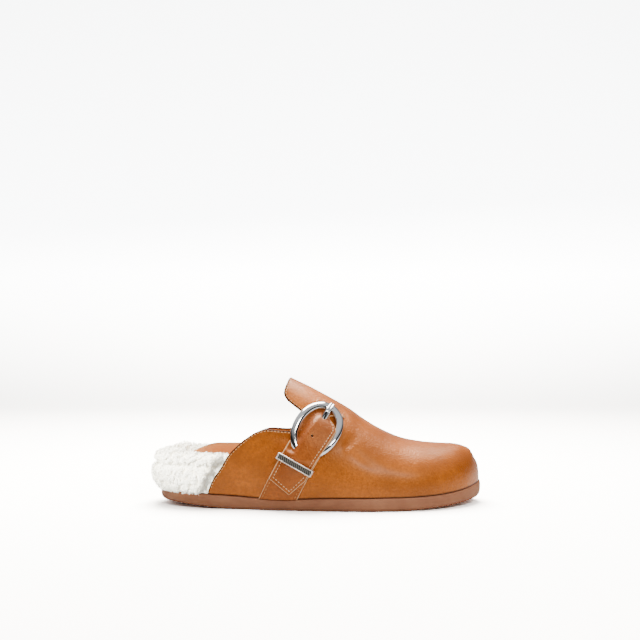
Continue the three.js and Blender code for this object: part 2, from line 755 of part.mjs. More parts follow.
function longStrapGeometry() {
  const columns = [-1, -0.6, -0.2, 0.15, TIP_SIDE, 0.75, 1];
  const endRun = (share) => TAIL_START - 6 * share ** 2;
  const tipRun = polyline([
    { share: -1, run: TIP_RUN + HEEL_CORNER },
    { share: TIP_SIDE, run: TIP_RUN },
    { share: 1, run: TIP_RUN + TOE_CORNER },
  ], 'share', 'run');
  const sections = evenly(30, 0, 1).map((t) => {
    const place = (share, raise) => {
      const run = THREE.MathUtils.lerp(tipRun(share), endRun(share), t);
      const wide = (share < 0 ? heelShare : toeShare)((run - RING_CENTRE) / RING_HALF);
      const across = (share * wide * TAIL_WIDTH) / 2;
      return onStrap(run, across, tailLift(run, across) + raise);
    };
    const under = columns.map((share) => place(share, 0));
    const over = columns.map((share) => place(share, STRAP_THICKNESS)).reverse();
    return [...under, ...over];
  });
  const hole = RING_CENTRE + HOLE_FROM_CENTRE;
  const through = 5 * RING_OVER;
  const slot = strapTool(hole, new THREE.BoxGeometry(PRONG_WIDTH + 3 * GAP, through, HOLE_LENGTH));
  const spare = new THREE.CylinderGeometry(SPARE_RADIUS, SPARE_RADIUS, through, 12);
  const drill = strapTool(hole - SPARE_HOLE, spare);
  return fromManifold(toManifold(loft(sections)).subtract(slot).subtract(drill));
}

// A cutting shape whose Y axis stands on the strap and whose Z axis runs along it.
function strapTool(run, geometry) {
  const { centre, normal, along, toToe } = strapFrame(run, 0);
  const tool = closed(geometry);
  tool.applyMatrix4(new THREE.Matrix4().makeBasis(toToe.negate(), normal, along).setPosition(centre));
  return toManifold(tool);
}

// Buckle ring: a half-round limb along an oval.
function ringGeometry() {
  const count = 38;
  const halfLength = RING_HALF - RING_LIMB / 2;
  const halfWidth = (RING_WIDTH - RING_LIMB) / 2;
  const profile = evenly(6, 0, Math.PI).map((a) => ({
    side: (RING_LIMB / 2) * Math.cos(a),
    up: RING_DEPTH * (0.25 + 0.75 * Math.sin(a)),
  }));
  const section = [{ side: RING_LIMB / 2, up: 0 }, ...profile, { side: -RING_LIMB / 2, up: 0 }];
  const at = (angle, grow) => ({
    run: RING_CENTRE + (halfLength + grow) * Math.cos(angle),
    across: (halfWidth + grow) * Math.sin(angle),
  });
  const points = [];
  const faces = [];
  for (let i = 0; i < count; i += 1) {
    const angle = (2 * Math.PI * i) / count;
    section.forEach(({ side, up }) => {
      const { run, across } = at(angle, side);
      points.push(onStrap(run, across, RING_UNDER + up));
    });
  }
  const size = section.length;
  for (let i = 0; i < count; i += 1) {
    for (let j = 0; j < size; j += 1) {
      const a = i * size + j;
      const b = i * size + ((j + 1) % size);
      const c = ((i + 1) % count) * size + ((j + 1) % size);
      const d = ((i + 1) % count) * size + j;
      faces.push([a, c, b], [a, d, c]);
    }
  }
  return solid(points, faces);
}

// Prong: beside the lower limb, up through the strap's hole and onto the upper limb.
function prongGeometry() {
  const hole = RING_CENTRE + HOLE_FROM_CENTRE;
  const start = RING_CENTRE - RING_HALF + RING_LIMB + GAP;
  const end = RING_CENTRE + RING_HALF - 1.6;
  const level = polyline([
    { run: start, lift: BASE_TOP + GAP },
    { run: BASE_LENGTH + 1.5, lift: BASE_TOP + GAP },
    { run: BASE_LENGTH + 6, lift: 3 * GAP },
    { run: hole - 4.5, lift: 3 * GAP },
    { run: hole + 2.5, lift: RING_OVER + GAP - 0.4 },
    { run: end - RING_LIMB - 1, lift: RING_OVER + GAP },
    { run: end, lift: RING_OVER + GAP },
  ], 'run', 'lift');
  const half = PRONG_WIDTH / 2;
  return loft(evenly(22, start, end).map((run) => {
    const corner = (across, up) => onStrap(run, across * half, level(run) + up * PRONG_DEPTH);
    const under = [corner(-1, 0), corner(1, 0)];
    return [...under, corner(1, 0.6), corner(0.6, 1), corner(-0.6, 1), corner(-1, 0.6)];
  }));
}

// Keeper: a flat bar over both straps with a leg down each side.
const keeperSpan = BASE_WIDTH + 2 * (KEEPER_LEG + 0.6);
const keeperLift = tailLift(KEEPER_RUN + KEEPER_WIDTH / 2, 0) + STRAP_THICKNESS + 2 * GAP;

function keeperBox(width, height, depth, across, lift) {
  const { centre, normal, along, toToe } = strapFrame(KEEPER_RUN, 0);
  const box = closed(new THREE.BoxGeometry(width, height, depth));
  box.translate(across, 0, lift);
  box.applyMatrix4(new THREE.Matrix4().makeBasis(toToe, along, normal).setPosition(centre));
  return box;
}

function keeperGeometry() {
  const bar = keeperBox(keeperSpan, KEEPER_WIDTH, KEEPER_DEPTH, 0, keeperLift + KEEPER_DEPTH / 2);
  const foot = 3 * GAP;
  const top = keeperLift + 0.2;
  const leg = (side) => {
    const across = (side * (keeperSpan - KEEPER_LEG)) / 2;
    return toManifold(keeperBox(KEEPER_LEG, KEEPER_WIDTH, top - foot, across, (top + foot) / 2));
  };
  const [long, wide] = [keeperSpan - 2 * INLAY_MARGIN, KEEPER_WIDTH - 2 * INLAY_MARGIN];
  const pocket = keeperBox(long, wide, 2 * INLAY_DEPTH, 0, keeperLift + KEEPER_DEPTH);
  const body = toManifold(bar).add(leg(-1)).add(leg(1)).subtract(toManifold(pocket));
  return fromManifold(body);
}

function inlayGeometry() {
  const clear = INLAY_MARGIN + 0.05;
  const thick = INLAY_DEPTH - 0.25;
  const lift = keeperLift + KEEPER_DEPTH - INLAY_DEPTH + 0.05 + thick / 2;
  return keeperBox(keeperSpan - 2 * clear, KEEPER_WIDTH - 2 * clear, thick, 0, lift);
}

// Materials, named by what they are on the shoe

function finish(color, roughness, metalness = 0) {
  return new THREE.MeshStandardMaterial({ color, roughness, metalness });
}
const tanLeather = finish('#b56a32', 0.42);
const strapLeather = finish('#a8602c', 0.45);
const patchLeather = finish('#d2986a', 0.5);
const cream = finish('#f1eee2', 0.95);
const bedFabric = finish('#e6dfcc', 0.95);
const soleRubber = finish('#a3704e', 0.7);
const silver = finish('#d8d8da', 0.15, 1);
const darkInlay = finish('#2c2b29', 0.5);

const shoe = new THREE.Group();
function place(name, geometry, material) {
  const mesh = new THREE.Mesh(geometry, material);
  mesh.name = name;
  shoe.add(mesh);
}

place('outsole', outsoleGeometry(), soleRubber);
place('footbed', footbedGeometry(), bedFabric);
place('heel_patch', heelPatchGeometry(), patchLeather);
place('heel_fur', heelFurGeometry(), cream);
place('upper', upperGeometry(), tanLeather);
place('base_strap', baseStrapGeometry(), strapLeather);
place('long_strap', longStrapGeometry(), strapLeather);
place('buckle_ring', ringGeometry(), silver);
place('prong', prongGeometry(), silver);
place('keeper', keeperGeometry(), silver);
place('keeper_inlay', inlayGeometry(), darkInlay);

// The origin is the middle of the shoe's box, on the floor.
const box = new THREE.Box3().setFromObject(shoe, true);
const middle = box.getCenter(new THREE.Vector3());
shoe.position.set(-middle.x, -middle.y, -box.min.z);

export default shoe;
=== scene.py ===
"""Looks of a fur-lined buckled mule, right foot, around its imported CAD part.

Forms are worked out in millimetres: X runs from the outsole's heel (0) to the toe, Y from the
outer side (negative, with the buckle) to the inner side, and Z up from the floor. `to_frame`
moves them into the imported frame, in metres.
"""

import bmesh
import bpy
import numpy as np
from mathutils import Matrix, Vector


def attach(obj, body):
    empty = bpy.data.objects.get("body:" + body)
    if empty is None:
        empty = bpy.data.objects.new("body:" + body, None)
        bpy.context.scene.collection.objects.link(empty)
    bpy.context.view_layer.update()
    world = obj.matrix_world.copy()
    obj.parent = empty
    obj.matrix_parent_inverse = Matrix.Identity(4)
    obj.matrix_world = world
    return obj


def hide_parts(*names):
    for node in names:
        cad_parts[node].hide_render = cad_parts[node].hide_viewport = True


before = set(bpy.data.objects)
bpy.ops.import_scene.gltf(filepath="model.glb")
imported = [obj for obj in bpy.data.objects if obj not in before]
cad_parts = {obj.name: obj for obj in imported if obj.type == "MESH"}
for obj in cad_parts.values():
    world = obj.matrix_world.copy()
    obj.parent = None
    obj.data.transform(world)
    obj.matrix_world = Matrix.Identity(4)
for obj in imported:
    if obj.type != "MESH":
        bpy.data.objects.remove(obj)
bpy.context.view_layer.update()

# Outsole: one slab of crepe rubber, moulded with a flat side band, a soft lower edge and shallow
# wavy tread. It springs a little at the heel and the toe, and the upper is glued on its top.

LENGTH = 258.0
BALL_WIDTH = 96.0
SOLE_THICKNESS = 10.0
HEEL_SPRING = 4.6
TOE_SPRING = 5.6
TREAD_DEPTH = 0.9
TREAD_PITCH = 9.0
TREAD_WAVE = 3.0
SOLE_LIGHT = "#9d6545"
SOLE_DARK = "#8f583a"


def table(columns, rows):
    """A short table as one array per named column."""
    return dict(zip(columns.split(), np.array(rows, float).T))


# Outline from above: a share of the length, then shares of the ball width.
OUTLINE = table("along middle half", [
    (0, 0, 0), (0.0465, 0, 0.234), (0.155, 0, 0.349), (0.24, -0.01, 0.36),
    (0.38, -0.047, 0.396), (0.504, -0.042, 0.4375), (0.64, -0.005, 0.495),
    (0.717, 0.016, 0.5), (0.795, 0.031, 0.484), (0.872, 0.047, 0.422),
    (0.938, 0.057, 0.307), (0.977, 0.0625, 0.182), (1, 0.0625, 0)])

# From the side: shares of the heel spring, the toe spring and the thickness.
LEVELS = table("along heel toe thick", [
    (0, 1, 0, 0.77), (0.078, 0.7, 0, 0.88), (0.155, 0.3, 0, 0.98), (0.235, 0, 0, 1.02),
    (0.29, 0, 0, 0.93), (0.38, 0, 0, 0.84), (0.504, 0, 0, 0.97), (0.64, 0, 0, 1),
    (0.736, 0, 0, 1.02), (0.814, 0, 0.18, 0.98), (0.872, 0, 0.36, 0.97),
    (0.938, 0, 0.64, 1.03), (0.977, 0, 0.84, 1.14), (1, 0, 1, 1.24)])

# Section of the side band: millimetres inside the outline, and a share of the thickness.
SOLE_SIDE = table("inset up", [
    (3, 0), (2.1, 0.03), (1.3, 0.1), (0.7, 0.18), (0.4, 0.28), (0.15, 0.42), (0, 0.6),
    (0.05, 0.76), (0.2, 0.86), (0.5, 0.96), (0.9, 1)])


def curve(keys, values, spread=lambda share: share):
    """Smooth curve through values at keys: cubic pieces whose slope at a key is the mean of the
    slopes beside it, each weighted by the other one's length."""
    at = spread(np.asarray(keys, float))
    value = np.asarray(values, float)
    step = np.diff(at)
    slope = np.diff(value) / step
    tangent = np.empty_like(value)
    tangent[0] = slope[0]
    tangent[-1] = slope[-1]
    tangent[1:-1] = (slope[:-1] * step[1:] + slope[1:] * step[:-1]) / (step[:-1] + step[1:])

    def sample(share):
        """Value at a share: the cubic between the two keys beside it, from the values and
        slopes there."""
        x = spread(np.asarray(share, float))
        i = np.clip(np.searchsorted(at, x, side="right") - 1, 0, len(step) - 1)
        t = (x - at[i]) / step[i]
        lean = step[i] * (tangent[i] * t * (1 - t) ** 2 + tangent[i + 1] * t * t * (t - 1))
        return value[i] * (1 + 2 * t) * (1 - t) ** 2 + value[i + 1] * t * t * (3 - 2 * t) + lean

    return sample


def round_ends(share):
    """A share of the length as the angle whose cosine is 1 - 2 * share, so that an outline's
    ends come out round."""
    return np.arccos(np.clip(1 - 2 * np.asarray(share, float), -1, 1))


outline_middle = curve(OUTLINE["along"], OUTLINE["middle"], round_ends)
outline_half = curve(OUTLINE["along"], OUTLINE["half"], round_ends)
heel_lift = curve(LEVELS["along"], LEVELS["heel"])
toe_lift = curve(LEVELS["along"], LEVELS["toe"])
thickness = curve(LEVELS["along"], LEVELS["thick"])


def smoothstep(x, low, high):
    """0 below low, 1 above high, and t * t * (3 - 2t) between them."""
    t = np.clip((x - low) / (high - low), 0, 1)
    return t * t * (3 - 2 * t)


def unit(vectors):
    """Vectors divided by their lengths."""
    return vectors / np.maximum(np.linalg.norm(vectors, axis=-1, keepdims=True), 1e-12)


def stack(x, y, z):
    """Coordinates that fit together, as points."""
    return np.stack(np.broadcast_arrays(x, y, z), -1).astype(float)


def floor_side(x):
    """Height of the sole's underside: the heel's and the toe's spring by their shares."""
    share = np.clip(x / LENGTH, 0, 1)
    return np.maximum(0, heel_lift(share) * HEEL_SPRING + toe_lift(share) * TOE_SPRING)


def sole_top(x):
    """Height of the sole's top: its underside plus its thickness there."""
    return floor_side(x) + thickness(np.clip(x / LENGTH, 0, 1)) * SOLE_THICKNESS


def outline_edge(angle):
    """Point of the outline: x = LENGTH * (1 - cos angle) / 2, y from the middle and the half."""
    share = (1 - np.cos(angle)) / 2
    y = outline_middle(share) + np.sign(np.sin(angle)) * outline_half(share)
    return stack(share * LENGTH, y * BALL_WIDTH, 0)


def outline_outward(angle):
    """Direction out of the outline: a short chord along it, turned by 90 degrees."""
    along = unit(outline_edge(angle + 0.004) - outline_edge(angle - 0.004))
    return stack(-along[..., 1], along[..., 0], 0)


def outline_point(angle, inset):
    """Point inside the outsole's edge: angle 0 is the heel's back, pi the toe, and negative
    angles lie on the outer side."""
    return outline_edge(angle) - outline_outward(angle) * np.asarray(inset, float)[..., None]


def grid_faces(rows, columns, around=False):
    """Four-sided faces of a grid of points; around joins the last column to the first."""
    i = np.arange(rows - 1)[:, None]
    j = np.arange(columns if around else columns - 1)[None, :]
    k = (j + 1) % columns
    corners = (i * columns + j, i * columns + k, (i + 1) * columns + k, (i + 1) * columns + j)
    return np.stack(np.broadcast_arrays(*corners), -1).reshape(-1, 4)


def outsole_heel():
    """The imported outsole's rearmost point, at the floor's height: the millimetres start there."""
    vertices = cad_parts["outsole"].data.vertices
    places = np.empty(len(vertices) * 3, np.float32)
    vertices.foreach_get("co", places)
    places = places.reshape(-1, 3)
    return np.array([*places[places[:, 0].argmin(), :2], 0.0], float)


ORIGIN = outsole_heel()


def to_frame(points):
    """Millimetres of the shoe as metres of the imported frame."""
    return np.asarray(points, float).reshape(-1, 3) / 1000 + ORIGIN


def add_mesh(name, points, faces, material, smooth=True, attributes=None):
    """A piece from points in millimetres, with one number per point for each attribute."""
    mesh = bpy.data.meshes.new(name)
    mesh.from_pydata(to_frame(points), [], faces)
    mesh.materials.append(material)
    for key, values in (attributes or {}).items():
        layer = mesh.attributes.new(key, "FLOAT", "POINT")
        layer.data.foreach_set("value", np.ascontiguousarray(values, np.float32).ravel())
    piece = bpy.data.objects.new(name, mesh)
    bpy.context.scene.collection.objects.link(piece)
    if smooth:
        mesh.shade_smooth()
    return piece


def outward(piece, join=0.0):
    """Merges doubles closer than join millimetres and turns a closed mesh's faces outwards."""
    body = bmesh.new()
    body.from_mesh(piece.data)
    if join:
        bmesh.ops.remove_doubles(body, verts=body.verts, dist=join / 1000)
    bmesh.ops.recalc_face_normals(body, faces=body.faces)
    body.to_mesh(piece.data)
    body.free()


def dress(piece, node):
    """The piece rides on the shoe and stands for a CAD node, which it hides."""
    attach(piece, "root")
    if node:
        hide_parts(node)


def tone(code):
    """An sRGB hex colour as linear RGBA."""
    value = np.array([int(code[i:i + 2], 16) for i in (1, 3, 5)]) / 255
    linear = np.where(value <= 0.04045, value / 12.92, ((value + 0.055) / 1.055) ** 2.4)
    return (*linear, 1.0)


def plug(tree, node, inputs):
    """Sets a node's sockets to values, or links them to other nodes' sockets."""
    for key, value in inputs.items():
        if isinstance(value, bpy.types.NodeSocket):
            tree.links.new(value, node.inputs[key])
        else:
            node.inputs[key].default_value = value


def add(tree, kind, inputs, output=0, **settings):
    """Adds a shader node with its settings and links, and returns one of its outputs."""
    node = tree.nodes.new("ShaderNode" + kind)
    for key, value in settings.items():
        setattr(node, key, value)
    plug(tree, node, inputs)
    return node.outputs[output]


def new_material(name):
    """An empty material with its node tree and its shader."""
    material = bpy.data.materials.new(name)
    material.use_nodes = True
    return material, material.node_tree, material.node_tree.nodes["Principled BSDF"]


# Sockets of a colour mix, whose names the node has more than once.
FIRST = 6
SECOND = 7
MIXED_COLOUR = 2


def centred(tree):
    """Object coordinates round the middle of the shoe."""
    coordinates = add(tree, "TexCoord", {}, "Object")
    return add(tree, "Mapping", {"Vector": coordinates, "Location": (0.0, 0.0, -0.04)})


def crepe_rubber():
    """Crepe rubber, moulded: matt and warm brown, clouded in patches of 18 mm, with a skin
    texture of 0.8 mm that only dulls its highlights."""
    material, tree, shader = new_material("sole_rubber")
    where = centred(tree)
    patches = add(tree, "TexNoise", {"Vector": where, "Scale": 1000 / 18, "Detail": 3.0})
    cloud = add(tree, "MapRange", {"Value": patches, "From Min": 0.35, "From Max": 0.65})
    colours = {"Factor": cloud, FIRST: tone(SOLE_LIGHT), SECOND: tone(SOLE_DARK)}
    colour = add(tree, "Mix", colours, MIXED_COLOUR, data_type="RGBA")
    skin = add(tree, "TexNoise", {"Vector": where, "Scale": 1000 / 0.8, "Detail": 4.0})
    bumps = add(tree, "Bump", {"Height": skin, "Distance": 0.12 / 1000, "Strength": 0.7})
    plug(tree, shader, {"Base Color": colour, "Normal": bumps, "Roughness": 0.72})
    return material


def tread(points):
    """Depth of the tread: grooves where the cosine of x, shifted by a sine of y, is high."""
    x, y = points[..., 0], points[..., 1]
    wave = np.cos(2 * np.pi * (x + TREAD_WAVE * np.sin(y / 7)) / TREAD_PITCH)
    return TREAD_DEPTH * smoothstep(wave, 0.35, 0.75)


def outsole():
    """Rings at the insets and heights of SOLE_SIDE, closed by rows of points that run straight
    from the outer to the inner side: underneath with the tread, on top without it."""
    angles = np.linspace(0, np.pi, 150)
    ring = np.concatenate([-angles, angles[-2:0:-1]])
    layers = []
    for inset, up in zip(SOLE_SIDE["inset"], SOLE_SIDE["up"]):
        points = outline_point(ring, inset)
        low = floor_side(points[:, 0])
        points[:, 2] = low + up * (sole_top(points[:, 0]) - low)
        layers.append(points)
    faces = [grid_faces(len(layers), len(ring), around=True)]
    parts = list(layers)
    share = np.linspace(0, 1, 71)[1:-1]
    inside = smoothstep(np.minimum(share, 1 - share), 0.04, 0.09)
    total = len(layers) * len(ring)
    half = len(angles)
    other = (-np.arange(half)) % len(ring)
    for layer, level, groove in ((0, floor_side, inside), (len(layers) - 1, sole_top, 0)):
        outer, inner = layers[layer][:half], layers[layer][other]
        rows = outer[:, None] + (inner - outer)[:, None] * share[None, :, None]
        rows[..., 2] = level(rows[..., 0])
        rows[..., 2] += groove * tread(rows)
        parts.append(rows.reshape(-1, 3))
        count = half * len(share)
        number = np.concatenate([
            (layer * len(ring) + np.arange(half))[:, None],
            total + np.arange(count).reshape(half, len(share)),
            (layer * len(ring) + other)[:, None]], axis=1)
        corners = (number[:-1, :-1], number[:-1, 1:], number[1:, 1:], number[1:, :-1])
        faces.append(np.stack(corners, -1).reshape(-1, 4))
        total += count
    piece = add_mesh("outsole_rubber", np.concatenate(parts), np.concatenate(faces), crepe_rubber())
    outward(piece, 0.02)
    dress(piece, "outsole")


outsole()

# Footbed: an insole board with foam and a short cream pile, cupped round the heel. It is glued
# on the outsole, inside the fleece and the upper.

GAP = 0.3
WALL = 2.0
SIDE_INSET = 2.0
RIM_HEIGHT = 41.8
FUR_DEPTH = 9.5
FUR_END = 78.0
BED_THICKNESS = 10.5
BED_BACK = FUR_DEPTH + GAP
BED_WIDENS = FUR_END + 2
BED_FRONT_INSET = SIDE_INSET + WALL + 1.6
CUP_HEIGHT = RIM_HEIGHT - 6
CUP_MIDDLE = 0.155 * LENGTH
CUP_FADES = 0.3 * LENGTH
CUP_END = 0.5 * LENGTH
BED_LIGHT = "#ece6d6"
BED_DARK = "#ddd4bf"

# Thickness along the bed, as shares of the length and of BED_THICKNESS.
BED_LEVELS = table("along up", [(0, 1), (0.16, 1), (0.4, 1.05), (0.6, 0.62), (0.8, 0.5), (1, 0.42)])
bed_level = curve(BED_LEVELS["along"], BED_LEVELS["up"])


def bed_top(x, across):
    """Height of the footbed: a flat floor, with a wall that rises at the heel's back and sides
    and a low rounded rise of 2.5 * across^4 in front of it. across goes from -1 to 1."""
    back = np.maximum(0, 1 - (x - BED_BACK) / (CUP_MIDDLE - BED_BACK))
    wall = smoothstep(np.hypot(across, back), 0.5, 1.02)
    cup = 1 - smoothstep(x, CUP_FADES, CUP_END)
    level = sole_top(x) + bed_level(np.clip(x / LENGTH, 0, 1)) * BED_THICKNESS
    return level + wall * cup * np.maximum(0, CUP_HEIGHT - level) + (1 - cup) * 2.5 * across ** 4


def bed_rows(angles, across):
    """Rows of points straight from the outer to the inner side, inside the fleece at the heel
    and inside the upper's wall in front of it."""
    forward = smoothstep(outline_point(angles, 0)[:, 0], BED_WIDENS, BED_WIDENS + 12)
    inset = BED_BACK + (BED_FRONT_INSET - BED_BACK) * forward
    outer = outline_point(-angles, inset)
    inner = outline_point(angles, inset)
    return outer[:, None] + (inner - outer)[:, None] * ((across + 1) / 2)[None, :, None]


def closed_slab(under, over):
    """Points and faces of a slab between two grids: a loop round each row, and two end caps."""
    loop = np.concatenate([under, over[:, ::-1]], axis=1)
    rows, columns = loop.shape[:2]
    faces = [grid_faces(rows, columns, around=True)]
    for row in (0, rows - 1):
        low = row * columns + np.arange(under.shape[1] - 1)
        high = row * columns + columns - 1 - np.arange(under.shape[1] - 1)
        faces.append(np.stack([low, low + 1, high - 1, high], -1))
    return loop.reshape(-1, 3), np.concatenate(faces)


def wool_pile():
    """Wool pile, woven and sheared short: very rough, with a soft sheen at grazing angles and
    tufts of 2.4 mm, drawn coarser than the real 1 mm so that they show."""
    material, tree, shader = new_material("bed_pile")
    where = centred(tree)
    tufts = add(tree, "TexNoise", {"Vector": where, "Scale": 1000 / 2.4, "Detail": 3.0})
    shade = add(tree, "MapRange", {"Value": tufts, "From Min": 0.35, "From Max": 0.65})
    colours = {"Factor": shade, FIRST: tone(BED_DARK), SECOND: tone(BED_LIGHT)}
    colour = add(tree, "Mix", colours, MIXED_COLOUR, data_type="RGBA")
    fuzz = add(tree, "TexNoise", {"Vector": where, "Scale": 1000 / 0.8, "Detail": 4.0})
    bumps = add(tree, "Bump", {"Height": fuzz, "Distance": 0.48 / 1000, "Strength": 0.9})
    plug(tree, shader, {
        "Base Color": colour, "Normal": bumps, "Roughness": 0.95, "Sheen Weight": 0.5,
        "Sheen Roughness": 0.5, "Subsurface Weight": 0.25, "Subsurface Scale": 0.004})
    return material


def footbed():
    """A closed slab between the outsole's top and bed_top."""
    across = np.linspace(-1, 1, 81)
    rows = bed_rows(np.linspace(0.1, np.pi - 0.1, 150), across)
    under = rows.copy()
    under[..., 2] = sole_top(rows[..., 0]) + GAP
    over = rows.copy()
    over[..., 2] = bed_top(rows[..., 0], across[None, :])
    points, faces = closed_slab(under, over)
    piece = add_mesh("footbed_pile", points, faces, wool_pile())
    outward(piece)
    dress(piece, "footbed")


footbed()

# Heel patch: a smooth sheet of tan leather, glued in the heel cup over the pile. It climbs the
# cup's sides, more on the inner side, and its cut edge shows over the fleece as a crescent.

PATCH_THICKNESS = 1.4
PATCH_HEIGHT = 45.6
PATCH_OUTER_SHARE = 0.35
PATCH_REAR = 15.0
PATCH_REACH = 90.0
PATCH_RISES = 29.0
PATCH_FALLS = 22.0
PATCH_TURN_TO_MM = 60.0
PATCH_HALF_WIDTH = 26.0
PATCH_TONES = ("#d8965f", "#cd874f", "#6a3d20")
LEATHER_TINT = "#ffb56e"


def grain_leather(name, tones, edge_band, roughness):
    """Smooth grain leather, drum dyed and lightly waxed. tones are its light and dark colour,
    mixed in clouds of 34 mm and specks of 2.2 mm, and the colour of the cut edge; the attribute
    `edge` is the distance to that edge in millimetres. Pores of 0.8 mm and cells of 1.5 mm,
    drawn a little coarser than real ones, break the highlights, and the tint keeps them warm."""
    material, tree, shader = new_material(name)
    light, dark, edge = (tone(code) for code in tones)
    where = centred(tree)
    lumps = add(tree, "TexNoise", {"Vector": where, "Scale": 1000 / 34, "Detail": 2.0})
    cloud = add(tree, "MapRange", {"Value": lumps, "From Min": 0.35, "From Max": 0.68})
    specks = add(tree, "TexNoise", {"Vector": where, "Scale": 1000 / 2.2, "Detail": 4.0})
    fine = add(tree, "MapRange", {
        "Value": specks, "From Min": 0.35, "From Max": 0.65, "To Max": 0.55})
    clouded = add(tree, "Mix", {"Factor": cloud, FIRST: light, SECOND: dark}, MIXED_COLOUR,
                  data_type="RGBA")
    body = add(tree, "Mix", {"Factor": fine, FIRST: clouded, SECOND: dark}, MIXED_COLOUR,
               data_type="RGBA")
    distance = add(tree, "Attribute", {}, "Fac", attribute_name="edge")
    near = add(tree, "MapRange", {
        "Value": distance, "From Min": edge_band[0], "From Max": edge_band[1],
        "To Min": 1.0, "To Max": 0.0})
    colour = add(tree, "Mix", {"Factor": near, FIRST: body, SECOND: edge}, MIXED_COLOUR,
                 data_type="RGBA")
    wax = add(tree, "TexNoise", {"Vector": where, "Scale": 1000 / 5, "Detail": 3.0})
    rough = add(tree, "MapRange", {
        "Value": wax, "From Min": 0.3, "From Max": 0.7,
        "To Min": roughness - 0.05, "To Max": roughness + 0.07})
    dull = add(tree, "Math", {0: rough, 1: near}, operation="MAXIMUM")
    cells = add(tree, "TexVoronoi", {"Vector": where, "Scale": 1000 / 1.5})
    pores = add(tree, "TexNoise", {"Vector": where, "Scale": 1000 / 0.8, "Detail": 2.0})
    grain = add(tree, "Math", {0: cells, 1: pores}, operation="ADD")
    bumps = add(tree, "Bump", {"Height": grain, "Distance": 0.2 / 1000, "Strength": 0.9})
    shine = add(tree, "MapRange", {"Value": near, "To Min": 0.8, "To Max": 0.0})
    plug(tree, shader, {
        "Base Color": colour, "Roughness": dull, "Normal": bumps, "Specular IOR Level": shine,
        "Specular Tint": tone(LEATHER_TINT), "Coat Weight": 0.2, "Coat Roughness": 0.28})
    return material


def heel_patch():
    """A closed slab over bed_top, raised towards both sides by a wall that is highest between
    the rear and the front edge."""
    spread = np.linspace(0.1, np.pi - 0.1, 600)
    reach = outline_point(spread, BED_BACK)[:, 0]
    inside = spread[(reach > PATCH_REAR) & (reach < PATCH_REACH)]
    angles = np.linspace(inside[0], inside[-1], 90)
    even = np.linspace(-1, 1, 61)
    across = np.sign(even) * np.abs(even) ** 0.8
    rows = bed_rows(angles, across)
    x = rows[..., 0]
    floor = bed_top(x, across[None, :]) + GAP
    rising = smoothstep(x, PATCH_REAR - 1, PATCH_REAR + PATCH_RISES)
    falling = 1 - smoothstep(x, PATCH_REACH - PATCH_FALLS, PATCH_REACH)
    wall = np.maximum(0, PATCH_HEIGHT - PATCH_THICKNESS - floor) * rising * falling
    side_share = np.where(across > 0, 1.0, PATCH_OUTER_SHARE)
    wall = wall * (smoothstep(np.abs(across), 0.86, 1) * side_share)[None, :]
    under = rows.copy()
    under[..., 1] -= np.sign(across) * GAP
    under[..., 2] = floor + wall
    over = under.copy()
    over[..., 1] -= np.sign(across) * PATCH_THICKNESS * across * across
    over[..., 2] += PATCH_THICKNESS
    points, faces = closed_slab(under, over)
    to_end = np.minimum(angles - angles[0], angles[-1] - angles)[:, None] * PATCH_TURN_TO_MM
    to_side = (1 - np.abs(across))[None, :] * PATCH_HALF_WIDTH
    edge = np.minimum(to_end, to_side)
    marks = np.concatenate([np.zeros_like(edge), edge[:, ::-1]], axis=1)
    material = grain_leather("patch_leather", PATCH_TONES, (0.2, 1.0), 0.5)
    piece = add_mesh("heel_patch_leather", points, faces, material, attributes={"edge": marks})
    outward(piece)
    dress(piece, "heel_patch")


heel_patch()

# Heel fleece: a padded roll of curly cream fleece round the open heel, sewn to the footbed. Its
# front ends lie inside the upper's quarters, and a soft crevice parts its rim from its side.

TAB_HEIGHT = 101.0
TIP = LENGTH - 1.2
BULGE = 0.035
RIDGE_SHIFT = 3.0
FUR_SWELL = 6.0
CREVICE_DEPTH = 3.4
CREVICE_HEIGHT = 33.5
LUMP_DEPTH = 1.5
LUMP_RADIUS = 3.4
FIBRES = 15500
LOCKS = 620
FIBRE_HALF_WIDTH = 0.26
FLEECE_UNDER = ("#e6dfce", "#fbf8ee")
FLEECE_CURLS = ("#f1ebdc", "#fffdf5")

# Ridge line of the last: a share of the tab's height, and how square the section is.
RIDGE = table("along height square", [
    (0.156, 1.327, 2.2), (0.339, 1.089, 2.1), (0.405, 1, 2), (0.452, 0.944, 2),
    (0.498, 0.883, 2), (0.545, 0.817, 2), (0.588, 0.752, 2.05), (0.637, 0.663, 2.1),
    (0.687, 0.586, 2.2), (0.75, 0.515, 2.3), (0.814, 0.479, 2.4), (0.876, 0.465, 2.45),
    (0.927, 0.458, 2.45), (0.953, 0.442, 2.4), (0.972, 0.416, 2.35), (0.984, 0.361, 2.3),
    (0.997, 0.285, 2.2)])

# Edges of the quarters: the turn up from the outsole (0) to the ridge (1), and the place along.
OUTER_QUARTER = table("turn along", [
    (0, 0.155), (0.05, 0.168), (0.115, 0.197), (0.178, 0.221), (0.228, 0.249), (0.28, 0.28),
    (0.32, 0.307), (0.349, 0.338), (0.37, 0.378), (0.39, 0.415), (0.44, 0.455)])
INNER_QUARTER = table("turn along", [
    (0, 0.155), (0.05, 0.168), (0.11, 0.197), (0.165, 0.221), (0.21, 0.249), (0.25, 0.28),
    (0.285, 0.307), (0.318, 0.341), (0.338, 0.38), (0.36, 0.415), (0.42, 0.455)])

# Section of the roll: out beyond the outsole's edge or into the shoe, and up to the rim.
FUR_PROFILE = table("out up", [
    (-0.18, 0), (0.35, 0.09), (0.8, 0.24), (1, 0.42), (1.02, 0.6), (0.86, 0.76), (0.6, 0.9),
    (0.05, 0.985), (-0.5, 1), (-0.85, 0.93), (-0.98, 0.82), (-1, 0.7), (-1, 0.42), (-1, 0.14),
    (-1, 0)])

